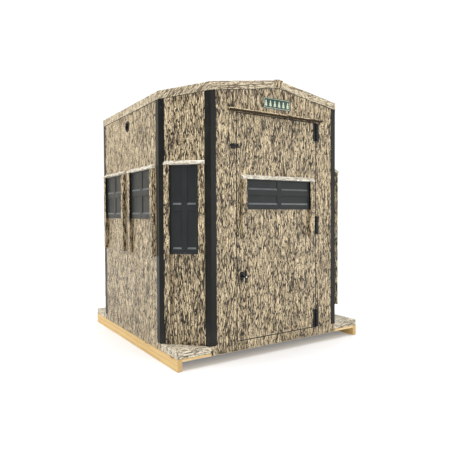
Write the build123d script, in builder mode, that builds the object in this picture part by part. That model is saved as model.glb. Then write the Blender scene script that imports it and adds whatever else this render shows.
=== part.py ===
from build123d import *
import math
import os

os.makedirs("parts", exist_ok=True)

# Octagonal box blind: a square platform on two timber skids carries eight
# insulated panels under a gable roof. +X is to the right when facing the door,
# the door faces -Y, +Z is up, and the origin is on the ground at the centre.

# ---- driving dimensions, mm ----
platform_width = 1829.0  # along X
platform_depth = 1829.0  # along Y
platform_thickness = 52.0
skid_height = 89.0
skid_thickness = 38.0
slat_width = 89.0
slat_thickness = 20.0

wall_thickness = 44.0
skin_thickness = 2.5  # outer skin, which laps over the platform's edge
front_lap_bottom = 72.0  # height of the lapped skin's hem, front and rear
corner_cut = 283.0  # how far each corner panel cuts back along X and Y
eave_height = 1970.0  # underside of the roof at the side walls
roof_rise = 146.0
roof_thickness = 65.0
roof_overhang = 5.0

trim_flange = 45.0
trim_thickness = 3.0
trim_screw_rows = 5
trim_screw_margin = 60.0
trim_screw_radius = 4.5
trim_screw_head = 2.0
inner_angle_flange = 35.0
ridge_cap_width = 85.0
ridge_cap_thickness = 4.0
ridge_tab_drop = 60.0
ridge_beam_width = 38.0
ridge_beam_height = 89.0

door_width = 816.0
door_head_drop = 87.0  # from the eave's height down to the door's top edge
door_gap = 4.0
door_sill_gap = 3.0
door_stop_thickness = 6.5  # what is left of the wall behind the seal
door_rebate = 12.0  # how far the stop laps behind the door
seal_thickness = 3.0
seal_clearance = 0.5

guard_overhang = 63.0  # past each side of the door opening
guard_offset = -15.0
guard_rise = 3.0  # above the door opening
guard_reach = 50.0
guard_edge = 12.0
guard_back = 24.0

hinge_height = 152.0
hinge_leaf_reach = 32.0  # from the pin's axis to a leaf's outer edge
hinge_leaf_thickness = 3.0
hinge_barrel_radius = 6.0
hinge_pin_radius = 3.0
hinge_running_clearance = 0.05
hinge_knuckles = 5
barrel_standoff = 0.5  # between the wall's face and the barrels
knuckle_gap = 0.6
leaf_to_barrel = 0.6  # clearance between a leaf's edge and the barrels
hinge_foot_inset = 78.0  # from the door's bottom edge to the middle of the lowest hinge
hinge_head_inset = 80.0  # from the door's top edge to the middle of the highest hinge
hinge_middle_rise = 3.5  # of the middle hinge above half of the door's height
hinge_screw_rows = 4
hinge_screw_radius = 4.0
hinge_screw_head = 1.0

latch_drop = 253.0  # from the door's top edge to the turn latch
latch_stud_offset = 13.0  # from the door opening's edge to the stud
latch_stud_radius = 4.0
latch_stud_head = 2.0
latch_play = 0.5
latch_bar_length = 41.0  # from the stud to the centre of the rounded tip
latch_bar_height = 14.0
latch_bar_thickness = 4.0
latch_plate_size = 42.0
latch_strike_width = 20.0
latch_strike_height = 33.0
plate_thickness = 3.0

handle_inset = 46.0  # from the door's edge to the spindle
handle_rise = 496.0  # from the door's bottom edge to the spindle
handle_height = 102.0
handle_width = 17.0
handle_corner = 7.5
handle_hub_radius = 10.0
handle_reach = 54.0
handle_bar_depth = 15.0
stem_radius = 8.0
stem_clearance = 0.1
stem_start = 1.0  # how far the stem's foot stands off the door
spindle_radius = 5.0
spindle_clearance = 1.0
escutcheon_width = 32.0
escutcheon_height = 68.0
escutcheon_corner = 8.0
escutcheon_thickness = 4.0
lock_plug_radius = 6.0
lock_plug_length = 24.0
lock_plug_play = 0.05
lock_plug_proud = 0.3
key_slot_width = 1.6
key_slot_height = 8.0
key_slot_depth = 5.3
cam_length = 72.0
cam_width = 20.0
cam_thickness = 4.0
cam_clearance = 2.0  # between the wall's inner face and the cam

vent_bore_radius = 36.0
vent_flange_radius = 48.0
vent_flange_thickness = 5.0
vent_tube_wall = 3.0
vent_play = 0.5
vent_slot_length = 46.0
vent_slot_height = 6.0
vent_slot_pitch = 14.0
vent_drop = 100.0  # below the eave's height

plate_width = 266.0
plate_height = 86.0
plate_corner = 4.0
plate_depth = 2.0
plate_rise = 103.0  # from the top of the door opening to the middle of the name plate

track_width = 45.0
track_reach = 30.0
track_groove_depth = 10.0  # how far a shutter's edge runs into its track
hood_reach = 38.0
hood_height = 34.0
shutter_thickness = 9.0
shutter_gap = 1.5  # between the wall's face and the shutter's back
shutter_side_clearance = 2.0
pocket_depth = 5.5
ledge_height = 13.0
shutter_side_bar = 18.0
shutter_centre_bar = 40.0
shutter_mid_rail = 45.0
shutter_foot_rail = 38.0
shutter_head_rail = 8.0
finger_hole_rise = 14.0  # its centre above the shutter's foot
finger_hole_radius = 7.0
shutter_to_lip = 0.5
shutter_to_hood = 1.0
opening_lap = 15.0  # how far a closed shutter laps the hole in the wall

# heights of a closed shutter's bottom edge, of the hood, and of the tracks' lowest point
door_window = {"sill": 1150.0, "head": 1383.0, "foot": 935.0}
side_window = {"sill": 1080.0, "head": 1465.0, "foot": 795.0}
corner_window = {"sill": 820.0, "head": 1480.0, "foot": 305.0}
door_window_margin = 38.0  # from the door's edge to its window's track
side_window_margin = 22.0  # from a corner trim's edge to the nearest track
side_window_gap = 114.0  # between the tracks of the two windows in a wall
track_to_trim = 0.3  # clearance between a corner window's track and the trim beside it

# ---- values worked out from them ----
platform_top = skid_height + platform_thickness
half_x = platform_width / 2 + skin_thickness
half_y = platform_depth / 2 + skin_thickness
flat_x = half_x - corner_cut  # half length of the front and rear walls' faces
flat_y = half_y - corner_cut
ridge_height = eave_height + roof_rise
roof_slope = roof_rise / half_x
roof_angle = math.degrees(math.atan(roof_slope))
roof_drop = roof_thickness / math.cos(math.radians(roof_angle))
mitre = math.tan(math.radians(22.5))
opening_half = door_width / 2 + door_gap
door_bottom = platform_top + door_sill_gap
door_top = eave_height - door_head_drop
door_height = door_top - door_bottom
door_thickness = wall_thickness - door_stop_thickness - seal_thickness - seal_clearance
opening_top = door_top + door_gap
stop_depth = door_thickness + seal_thickness + seal_clearance
shutter_face = shutter_gap + shutter_thickness
hinge_x = door_width / 2 + door_gap / 2
hinge_reach = hinge_barrel_radius + barrel_standoff
hinge_levels = [
    door_bottom + hinge_foot_inset,
    (door_bottom + door_top) / 2 + hinge_middle_rise,
    door_top - hinge_head_inset,
]
latch_level = door_top - latch_drop
handle_level = door_bottom + handle_rise
vent_level = eave_height - vent_drop
plate_level = opening_top + plate_rise
guard_length = 2 * (opening_half + guard_overhang)
build_height = ridge_height + roof_thickness
corner_face = corner_cut * math.sqrt(2)
corner_window["width"] = corner_face - 2 * (trim_flange + track_width + track_to_trim)
door_window["width"] = door_width - 2 * (door_window_margin + track_width)


def paired_window(flat):
    """Width and centre distance of two equal windows in a wall whose face is 2 * flat long."""
    clear = flat - trim_flange - side_window_margin - side_window_gap / 2
    width = clear - 2 * track_width
    return {**side_window, "width": width, "spacing": clear + side_window_gap}


side_wall_window = paired_window(flat_y)
rear_wall_window = paired_window(flat_x)

left_slope = Plane(origin=(0, 0, ridge_height), x_dir=(0, 1, 0), z_dir=(-roof_slope, 0, 1))
right_slope = Plane(origin=(0, 0, ridge_height), x_dir=(0, 1, 0), z_dir=(roof_slope, 0, 1))


def save(part, label):
    """Labels a finished piece and writes it to its own file."""
    part.label = label
    export_step(part, f"parts/{label}.step")


def octagon(reach):
    """Corner points of the wall octagon, offset outwards by reach, counterclockwise from the front."""
    x, y = half_x + reach, half_y + reach
    fx, fy = flat_x + reach * mitre, flat_y + reach * mitre
    return [(-fx, -y), (fx, -y), (x, -fy), (x, fy), (fx, y), (-fx, y), (-x, fy), (-x, -fy)]


def side_points(side, outer=0.0, inner=-wall_thickness):
    """Plan outline of one side of the octagon, mitred at both ends."""
    out, back = octagon(outer), octagon(inner)
    after = (side + 1) % 8
    return [out[side], out[after], back[after], back[side]]


def face_plane(side, offset=0.0):
    """Plane on one outer face: origin at the face's centre on the ground, x to the right, y up."""
    (ax, ay), (bx, by) = octagon(0)[side], octagon(0)[(side + 1) % 8]
    length = math.hypot(bx - ax, by - ay)
    right = Vector((bx - ax) / length, (by - ay) / length, 0)
    out = right.cross(Vector(0, 0, 1))
    centre = Vector((ax + bx) / 2, (ay + by) / 2, 0) + right * offset
    return Plane(origin=centre, x_dir=right, z_dir=out)


def profile_plane(face, right):
    """Plane across a face at a distance to the right of its centre: x out of the wall, y up."""
    return Plane(origin=face.origin + face.x_dir * right, x_dir=face.z_dir, z_dir=-face.x_dir)


def keep_under_roof():
    """Cuts the current part off along both roof slopes."""
    split(bisect_by=left_slope, keep=Keep.BOTTOM)
    split(bisect_by=right_slope, keep=Keep.BOTTOM)


def box_on(face, width, height, depth, right=0.0, bottom=0.0, start=0.0, mode=Mode.ADD):
    """Block standing on a face from start outwards by depth."""
    with BuildSketch(face.offset(start)) as outline:
        with Locations((right, bottom + height / 2)):
            Rectangle(width, height)
    extrude(outline.sketch, amount=depth, mode=mode)


def disc_on(face, radius, depth, right, level, start=0.0, mode=Mode.ADD):
    """Round boss or hole on a face from start outwards by depth."""
    with BuildSketch(face.offset(start)) as outline:
        with Locations((right, level)):
            Circle(radius)
    extrude(outline.sketch, amount=depth, mode=mode)


def cut_window(face, window):
    """Hole through a panel behind a window's closed shutter."""
    width = window["width"] - 2 * opening_lap
    height = window["head"] - window["sill"] - 2 * opening_lap
    bottom = window["sill"] + opening_lap
    box_on(face, width, height, -2 * wall_thickness, 0, bottom, wall_thickness / 2, Mode.SUBTRACT)


def window_tracks(faces, window):
    """Pairs of side tracks, each a strip with a rebate that holds the shutter's edge."""
    height = window["head"] - window["foot"]
    with BuildPart() as tracks:
        for face in faces:
            for hand in (-1, 1):
                front = hand * (window["width"] + track_width) / 2
                back = hand * (window["width"] + track_width + track_groove_depth) / 2
                back_width = track_width - track_groove_depth
                lip = shutter_face + shutter_to_lip
                box_on(face, back_width, height, lip, back, window["foot"])
                box_on(face, track_width, height, track_reach - lip, front, window["foot"], lip)
    return tracks.part


def window_hoods(fitted):
    """Sloped rain hoods that close the tracks at the top, one for each face and its window."""
    with BuildPart() as hoods:
        for face, window in fitted:
            length = window["width"] + 2 * track_width
            with BuildSketch(profile_plane(face, length / 2)):
                with BuildLine():
                    Polyline(
                        (0, window["head"]),
                        (hood_reach, window["head"]),
                        (hood_reach, window["head"] + hood_height / 4),
                        (0, window["head"] + hood_height),
                        close=True,
                    )
                make_face()
            extrude(amount=length)
    return hoods.part


def window_shutter(face, window):
    """Moulded shutter with two by two pockets, each with a sloped ledge at its foot."""
    inside = 2 * (track_groove_depth - shutter_side_clearance)
    width = window["width"] + inside
    height = window["head"] - window["sill"] - shutter_to_hood
    pocket_width = (window["width"] - 2 * shutter_side_bar - shutter_centre_bar) / 2
    rails = shutter_mid_rail + shutter_foot_rail + shutter_head_rail
    pocket_height = (height - rails) / 2
    floor = shutter_face - pocket_depth
    hole_level = window["sill"] + finger_hole_rise
    with BuildPart() as shutter:
        box_on(face, width, height, shutter_thickness, 0, window["sill"], shutter_gap)
        for column in (-1, 1):
            middle = column * (shutter_centre_bar + pocket_width) / 2
            for row in (0, 1):
                foot = window["sill"] + shutter_foot_rail + row * (pocket_height + shutter_mid_rail)
                with BuildSketch(profile_plane(face, middle + pocket_width / 2)):
                    with BuildLine():
                        Polyline(
                            (shutter_face + 1, foot - ledge_height / pocket_depth),
                            (floor, foot + ledge_height),
                            (floor, foot + pocket_height),
                            (shutter_face + 1, foot + pocket_height),
                            close=True,
                        )
                    make_face()
                extrude(amount=pocket_width, mode=Mode.SUBTRACT)
        disc_on(face, finger_hole_radius, pocket_depth, 0, hole_level, floor, Mode.SUBTRACT)
    return shutter.part


# ---- base ----
skid_x = (platform_width - skid_thickness) / 2
for label, x in (("skid_left", -skid_x), ("skid_right", skid_x)):
    with BuildPart() as skid:
        with BuildSketch():
            with Locations((x, 0)):
                Rectangle(skid_thickness, platform_depth)
        extrude(amount=skid_height)
    save(skid.part, label)

slat_length = platform_width - 2 * skid_thickness
slat_y = (platform_depth - slat_width) / 2
with BuildPart() as cross_slats:
    with BuildSketch(Plane.XY.offset(skid_height - slat_thickness)):
        with Locations((0, -slat_y), (0, 0), (0, slat_y)):
            Rectangle(slat_length, slat_width)
    extrude(amount=slat_thickness)
save(cross_slats.part, "cross_slats")

with BuildPart() as platform_panel:
    with BuildSketch(Plane.XY.offset(skid_height)):
        Rectangle(platform_width, platform_depth)
    extrude(amount=platform_thickness)
save(platform_panel.part, "platform_panel")

# ---- walls and corner panels ----
FRONT, FRONT_RIGHT, RIGHT, REAR_RIGHT, REAR, REAR_LEFT, LEFT, FRONT_LEFT = range(8)
wall_names = {FRONT: "wall_front", RIGHT: "wall_right", REAR: "wall_rear", LEFT: "wall_left"}
corner_names = {
    FRONT_LEFT: "front_left",
    FRONT_RIGHT: "front_right",
    REAR_LEFT: "rear_left",
    REAR_RIGHT: "rear_right",
}
wall_windows = {RIGHT: side_wall_window, REAR: rear_wall_window, LEFT: side_wall_window}


def pair_faces(side):
    """Face planes behind the two windows of one wall, the left one seen from outside first."""
    spacing = wall_windows[side]["spacing"]
    return [face_plane(side, -spacing / 2), face_plane(side, spacing / 2)]


for side, label in wall_names.items():
    face = face_plane(side)
    lap_bottom = front_lap_bottom if side in (FRONT, REAR) else skid_height
    lap_length = 2 * (flat_x if side in (FRONT, REAR) else flat_y)
    with BuildPart() as wall:
        with BuildSketch(Plane.XY.offset(platform_top)):
            Polygon(*side_points(side), align=None)
        extrude(amount=build_height - platform_top)
        keep_under_roof()
        if side == FRONT:
            tall = opening_top - platform_top
            lip_half = opening_half - door_rebate
            lip_tall = tall - door_rebate
            box_on(face, 2 * opening_half, tall, -stop_depth, 0, platform_top, 0, Mode.SUBTRACT)
            through = -2 * wall_thickness
            box_on(face, 2 * lip_half, lip_tall, through, 0, platform_top, 0, Mode.SUBTRACT)
        else:
            for window_face in pair_faces(side):
                cut_window(window_face, wall_windows[side])
        if side in (LEFT, RIGHT):
            hole = -2 * wall_thickness
            disc_on(face, vent_bore_radius, hole, 0, vent_level, wall_thickness / 2, Mode.SUBTRACT)
        lap_height = platform_top - lap_bottom
        box_on(face, lap_length, lap_height, -skin_thickness, 0, lap_bottom)
    save(wall.part, label)

for side, corner in corner_names.items():
    with BuildPart() as corner_panel:
        with BuildSketch(Plane.XY.offset(platform_top)):
            Polygon(*side_points(side), align=None)
        extrude(amount=build_height - platform_top)
        keep_under_roof()
        cut_window(face_plane(side), corner_window)
    save(corner_panel.part, f"corner_panel_{corner}")


# ---- corner trims, outside and inside ----
def folded_strip(vertex, reach_inner, reach_outer, flange):
    """Plan outline of a strip folded round one corner of the octagon."""
    inner, outer = octagon(reach_inner), octagon(reach_outer)
    before, after = (vertex - 1) % 8, (vertex + 1) % 8

    def along(points, other):
        (ax, ay), (bx, by) = points[vertex], points[other]
        length = math.hypot(bx - ax, by - ay)
        return ax + (bx - ax) * flange / length, ay + (by - ay) * flange / length

    return [
        along(inner, before),
        inner[vertex],
        along(inner, after),
        along(outer, after),
        outer[vertex],
        along(outer, before),
    ]


for side, corner in corner_names.items():
    with BuildPart() as corner_trims:
        for vertex in (side, (side + 1) % 8):
            with BuildSketch(Plane.XY.offset(platform_top)):
                Polygon(*folded_strip(vertex, 0, trim_thickness, trim_flange), align=None)
            extrude(amount=build_height - platform_top)
        keep_under_roof()
    save(corner_trims.part, f"corner_trims_{corner}")

with BuildPart() as trim_screws:
    for side in range(8):
        face = face_plane(side)
        wall_length = 2 * (flat_x if side in (FRONT, REAR) else flat_y)
        length = corner_face if side in corner_names else wall_length
        for hand in (-1, 1):
            right = hand * (length - trim_flange) / 2
            for row in range(trim_screw_rows):
                span = eave_height - platform_top - 2 * trim_screw_margin
                level = platform_top + trim_screw_margin + span * row / (trim_screw_rows - 1)
                disc_on(face, trim_screw_radius, trim_screw_head, right, level, trim_thickness)
save(trim_screws.part, "trim_screws")

with BuildPart() as inner_corner_angles:
    for vertex in range(8):
        inside = -wall_thickness
        outline = folded_strip(vertex, inside, inside - trim_thickness, inner_angle_flange)
        with BuildSketch(Plane.XY.offset(platform_top)):
            Polygon(*outline, align=None)
        extrude(amount=eave_height - platform_top)
save(inner_corner_angles.part, "inner_corner_angles")

# ---- roof ----
left_top = Plane(left_slope.origin + left_slope.z_dir * roof_thickness, left_slope.x_dir, left_slope.z_dir)
right_top = Plane(
    right_slope.origin + right_slope.z_dir * roof_thickness, right_slope.x_dir, right_slope.z_dir
)
roof_half_x, roof_half_y = half_x + roof_overhang, half_y + roof_overhang
for label, hand, under, top in (
    ("roof_panel_left", -1, left_slope, left_top),
    ("roof_panel_right", 1, right_slope, right_top),
):
    with BuildPart() as roof_panel:
        with BuildSketch(Plane.XY.offset(eave_height - roof_thickness)):
            Polygon(*octagon(roof_overhang), align=None)
            with Locations((-hand * roof_half_x, 0)):
                Rectangle(2 * roof_half_x, 4 * roof_half_y, mode=Mode.SUBTRACT)
        extrude(amount=roof_rise + 3 * roof_drop)
        split(bisect_by=under, keep=Keep.TOP)
        split(bisect_by=top, keep=Keep.BOTTOM)
    save(roof_panel.part, label)

cap_half = ridge_cap_width / 2
cap_base = ridge_height + roof_drop
cap_rise = ridge_cap_thickness / math.cos(math.radians(roof_angle))
cap_drop = cap_half * roof_slope
cap_reach = roof_half_y + ridge_cap_thickness
with BuildPart() as ridge_cap:
    with BuildSketch(Plane.XZ.offset(-cap_reach)):
        with BuildLine():
            Polyline(
                (0, cap_base),
                (cap_half, cap_base - cap_drop),
                (cap_half, cap_base - cap_drop + cap_rise),
                (0, cap_base + cap_rise),
                (-cap_half, cap_base - cap_drop + cap_rise),
                (-cap_half, cap_base - cap_drop),
                close=True,
            )
        make_face()
    extrude(amount=2 * cap_reach)
    for start in (roof_half_y, -cap_reach):
        with BuildSketch(Plane.XZ.offset(start)):
            with BuildLine():
                Polyline(
                    (0, cap_base + cap_rise),
                    (cap_half, cap_base - cap_drop + cap_rise),
                    (cap_half, cap_base - cap_drop - ridge_tab_drop),
                    (0, cap_base - ridge_tab_drop),
                    (-cap_half, cap_base - cap_drop - ridge_tab_drop),
                    (-cap_half, cap_base - cap_drop + cap_rise),
                    close=True,
                )
            make_face()
        extrude(amount=ridge_cap_thickness)
save(ridge_cap.part, "ridge_cap")

beam_half = ridge_beam_width / 2
beam_reach = half_y - wall_thickness
with BuildPart() as ridge_beam:
    with BuildSketch(Plane.XZ.offset(-beam_reach)):
        with BuildLine():
            Polyline(
                (0, ridge_height),
                (beam_half, ridge_height - beam_half * roof_slope),
                (beam_half, ridge_height - ridge_beam_height),
                (-beam_half, ridge_height - ridge_beam_height),
                (-beam_half, ridge_height - beam_half * roof_slope),
                close=True,
            )
        make_face()
    extrude(amount=2 * beam_reach)
save(ridge_beam.part, "ridge_beam")

# ---- door ----
front = face_plane(FRONT)
with BuildPart() as door_leaf:
    box_on(front, door_width, door_height, -door_thickness, 0, door_bottom)
    cut_window(front, door_window)
    spindle_x = -door_width / 2 + handle_inset
    bore = spindle_radius + spindle_clearance
    start = door_thickness / 2
    disc_on(front, bore, -2 * door_thickness, spindle_x, handle_level, start, Mode.SUBTRACT)
save(door_leaf.part, "door_leaf")

seal_half = door_width / 2
with BuildPart() as door_seal:
    tall = door_top - platform_top
    box_on(front, 2 * seal_half, tall, seal_thickness, 0, platform_top, -stop_depth)
    inner_half = seal_half - door_rebate + door_gap
    inner_tall = tall - door_rebate + door_gap
    through = 3 * seal_thickness
    start = -stop_depth - seal_thickness
    box_on(front, 2 * inner_half, inner_tall, through, 0, platform_top, start, Mode.SUBTRACT)
save(door_seal.part, "door_seal")

with BuildPart() as rain_guard:
    guard_bottom = opening_top + guard_rise
    with BuildSketch(profile_plane(front, guard_offset + guard_length / 2)):
        with BuildLine():
            Polyline(
                (0, guard_bottom),
                (guard_reach, guard_bottom),
                (guard_reach, guard_bottom + guard_edge),
                (0, guard_bottom + guard_back),
                close=True,
            )
        make_face()
    extrude(amount=guard_length)
save(rain_guard.part, "rain_guard")

# ---- hinges ----
knuckle_pitch = hinge_height / hinge_knuckles


def hinge_leaf(hand, knuckles, bore):
    """Three leaves on one side of the pins, with the barrels they carry."""
    with BuildPart() as leaves:
        for level in hinge_levels:
            bottom = level - hinge_height / 2
            near = hinge_barrel_radius + leaf_to_barrel
            width = hinge_leaf_reach - near
            bridge_width = near + hinge_leaf_thickness / 3
            bridge_thickness = hinge_leaf_thickness - barrel_standoff
            bridge_y = -half_y - (hinge_leaf_thickness + barrel_standoff) / 2
            middle = hinge_x + hand * (near + width / 2)
            box_on(front, width, hinge_height, hinge_leaf_thickness, middle, bottom)
            for knuckle in knuckles:
                foot = bottom + knuckle * knuckle_pitch + knuckle_gap / 2
                tall = knuckle_pitch - knuckle_gap
                bridge = hinge_x + hand * bridge_width / 2
                with BuildSketch(Plane.XY.offset(foot)):
                    with Locations((hinge_x, -half_y - hinge_reach)):
                        Circle(hinge_barrel_radius)
                    with Locations((bridge, bridge_y)):
                        Rectangle(bridge_width, bridge_thickness)
                    with Locations((hinge_x, -half_y - hinge_reach)):
                        Circle(bore, mode=Mode.SUBTRACT)
                extrude(amount=tall)
    return leaves.part


save(hinge_leaf(1, (0, 2, 4), hinge_pin_radius), "hinge_frame_leaves")
save(hinge_leaf(-1, (1, 3), hinge_pin_radius + hinge_running_clearance), "hinge_door_leaves")

with BuildPart() as hinge_pins:
    for level in hinge_levels:
        with BuildSketch(Plane.XY.offset(level - hinge_height / 2)):
            with Locations((hinge_x, -half_y - hinge_reach)):
                Circle(hinge_pin_radius)
        extrude(amount=hinge_height)
save(hinge_pins.part, "hinge_pins")


def leaf_screws(hand):
    """Countersunk screw heads, four to a leaf, standing a little proud of it."""
    with BuildPart() as screws:
        right = hinge_x + hand * (hinge_barrel_radius + hinge_leaf_reach) / 2
        for level in hinge_levels:
            for row in range(hinge_screw_rows):
                middle_row = (hinge_screw_rows - 1) / 2
                height = level + (row - middle_row) * hinge_height / hinge_screw_rows
                start = hinge_leaf_thickness
                disc_on(front, hinge_screw_radius, hinge_screw_head, right, height, start)
    return screws.part


save(leaf_screws(1), "hinge_frame_screws")
save(leaf_screws(-1), "hinge_door_screws")

# ---- upper turn latch ----
stud_x = -opening_half - latch_stud_offset
bar_start = plate_thickness + latch_play
bar_end = bar_start + latch_bar_thickness
head_start = bar_end + latch_play
with BuildPart() as latch_plate:
    left_edge = stud_x + latch_bar_height / 2 - latch_plate_size / 2
    bottom = latch_level - latch_plate_size * 0.6
    box_on(front, latch_plate_size, latch_plate_size, plate_thickness, left_edge, bottom)
    disc_on(front, latch_stud_radius, head_start, stud_x, latch_level)
    disc_on(front, latch_bar_height / 2, latch_stud_head, stud_x, latch_level, head_start)
save(latch_plate.part, "latch_plate")

with BuildPart() as latch_bar:
    with BuildSketch(front.offset(bar_start)):
        with Locations((stud_x - latch_bar_length / 2, latch_level)):
            SlotOverall(latch_bar_length + latch_bar_height, latch_bar_height)
        with Locations((stud_x, latch_level)):
            Circle(latch_stud_radius + hinge_running_clearance, mode=Mode.SUBTRACT)
    extrude(amount=latch_bar_thickness)
save(latch_bar.part, "latch_bar")

with BuildPart() as latch_strike:
    strike_x = -door_width / 2 + latch_strike_width / 2 + 1
    strike_bottom = latch_level - latch_strike_height / 2
    box_on(front, latch_strike_width, latch_strike_height, plate_thickness, strike_x, strike_bottom)
save(latch_strike.part, "latch_strike")

# ---- T-handle lock ----
handle_near = handle_reach - handle_bar_depth / 2
handle_far = handle_reach + handle_bar_depth / 2
with BuildPart() as lock_escutcheon:
    with BuildSketch(front):
        with Locations((spindle_x, handle_level)):
            RectangleRounded(escutcheon_width, escutcheon_height, escutcheon_corner)
            Circle(stem_radius + stem_clearance, mode=Mode.SUBTRACT)
    extrude(amount=escutcheon_thickness)
save(lock_escutcheon.part, "lock_escutcheon")

with BuildPart() as lock_handle:
    disc_on(front, stem_radius, handle_near - stem_start, spindle_x, handle_level, stem_start)
    cam_start = -wall_thickness - cam_clearance
    disc_on(front, spindle_radius, stem_start - cam_start, spindle_x, handle_level, cam_start)
    with BuildSketch(front.offset(handle_near)):
        with Locations((spindle_x, handle_level)):
            RectangleRounded(handle_width, handle_height, handle_corner)
            Circle(handle_hub_radius)
    extrude(amount=handle_bar_depth)
    plug_start = handle_far - lock_plug_length
    plug_bore = lock_plug_radius + lock_plug_play
    disc_on(front, plug_bore, 2 * lock_plug_length, spindle_x, handle_level, plug_start, Mode.SUBTRACT)
save(lock_handle.part, "lock_handle")

with BuildPart() as lock_cam:
    with BuildSketch(front.offset(cam_start - cam_thickness)):
        with Locations((spindle_x, handle_level - cam_length / 2 + cam_width / 4)):
            SlotOverall(cam_length + cam_width / 2, cam_width, rotation=90)
    extrude(amount=cam_thickness)
save(lock_cam.part, "lock_cam")

with BuildPart() as lock_plug:
    plug_foot = plug_start + lock_plug_proud
    disc_on(front, lock_plug_radius, lock_plug_length, spindle_x, handle_level, plug_foot)
    key_bottom = handle_level - key_slot_height / 2
    key_start = handle_far + lock_plug_proud - key_slot_depth
    box_on(
        front,
        key_slot_width,
        key_slot_height,
        2 * key_slot_depth,
        spindle_x,
        key_bottom,
        key_start,
        Mode.SUBTRACT,
    )
save(lock_plug.part, "lock_plug")

# ---- small fittings on the shell ----
with BuildPart() as name_plate:
    with BuildSketch(front):
        with Locations((guard_offset, plate_level)):
            RectangleRounded(plate_width, plate_height, plate_corner)
    extrude(amount=plate_depth)
save(name_plate.part, "name_plate")

for side, label in ((LEFT, "vent_left"), (RIGHT, "vent_right")):
    face = face_plane(side)
    tube = vent_bore_radius - vent_play
    inside = tube - vent_tube_wall
    with BuildPart() as vent:
        disc_on(face, vent_flange_radius, vent_flange_thickness, 0, vent_level)
        disc_on(face, tube, -wall_thickness, 0, vent_level)
        disc_on(face, inside, -2 * wall_thickness, 0, vent_level, 0, Mode.SUBTRACT)
        with BuildSketch(face.offset(-vent_flange_thickness)):
            with Locations(*[(0, vent_level + vent_slot_pitch * row) for row in (-1, 0, 1)]):
                SlotOverall(vent_slot_length, vent_slot_height)
        extrude(amount=3 * vent_flange_thickness, mode=Mode.SUBTRACT)
    save(vent.part, label)

# ---- windows ----
corner_faces = [face_plane(side) for side in corner_names]
save(window_tracks([front], door_window), "door_window_tracks")
save(window_hoods([(front, door_window)]), "door_window_hood")
save(window_shutter(front, door_window), "door_shutter")
save(window_tracks(corner_faces, corner_window), "corner_window_tracks")
save(window_hoods([(face, corner_window) for face in corner_faces]), "corner_window_hoods")
for side, corner in corner_names.items():
    save(window_shutter(face_plane(side), corner_window), f"corner_shutter_{corner}")

fitted = [(face, window) for side, window in wall_windows.items() for face in pair_faces(side)]
save(window_hoods(fitted), "wall_window_hoods")
for wall, side in {"left": LEFT, "right": RIGHT, "rear": REAR}.items():
    window = wall_windows[side]
    save(window_tracks(pair_faces(side), window), f"{wall}_window_tracks")
    for number, face in enumerate(pair_faces(side), 1):
        save(window_shutter(face, window), f"{wall}_shutter_{number}")
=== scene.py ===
"""Octagonal box blind on a timber skid platform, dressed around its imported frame.

Lengths are metres. +X is to the right when facing the door, the door faces -Y and +Z is up.
"""

from __future__ import annotations

import logging
import math
from dataclasses import dataclass
from enum import Enum
from typing import Any, Callable, Sequence

import bmesh
import bpy
import numpy as np
from mathutils import Matrix, Vector


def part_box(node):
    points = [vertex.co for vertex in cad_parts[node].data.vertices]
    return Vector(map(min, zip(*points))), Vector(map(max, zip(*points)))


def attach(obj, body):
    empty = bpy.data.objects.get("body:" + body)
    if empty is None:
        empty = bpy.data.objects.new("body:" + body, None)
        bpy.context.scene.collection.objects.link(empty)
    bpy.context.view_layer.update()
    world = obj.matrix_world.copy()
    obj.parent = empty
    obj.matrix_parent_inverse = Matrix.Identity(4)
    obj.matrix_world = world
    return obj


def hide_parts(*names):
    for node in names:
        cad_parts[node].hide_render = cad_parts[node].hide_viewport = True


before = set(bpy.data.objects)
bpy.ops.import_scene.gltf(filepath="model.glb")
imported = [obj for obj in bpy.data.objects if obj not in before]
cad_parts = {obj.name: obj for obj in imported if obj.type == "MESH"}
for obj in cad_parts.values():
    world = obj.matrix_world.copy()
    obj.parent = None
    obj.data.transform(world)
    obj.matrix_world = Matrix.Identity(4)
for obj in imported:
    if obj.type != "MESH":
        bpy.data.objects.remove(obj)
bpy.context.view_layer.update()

MM = 0.001
SIDES = 8
LOG = logging.getLogger("box_blind")

# Degrees between two faces under which a piece is shaded as one surface, by how it is made.
FOLDS = 30
METAL = 35
HEADS = 40
MOULDED = 40
CAST = 50

# Points round a screw head, a barrel or stem, and the key plug.
SCREW_POINTS = 10
ROUND_POINTS = 20
PLUG_POINTS = 24

Colour = tuple[float, float, float]
RIDGE = float(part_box("ridge_beam")[1].z)


# ---------------------------------------------------------------- shader sums


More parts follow.
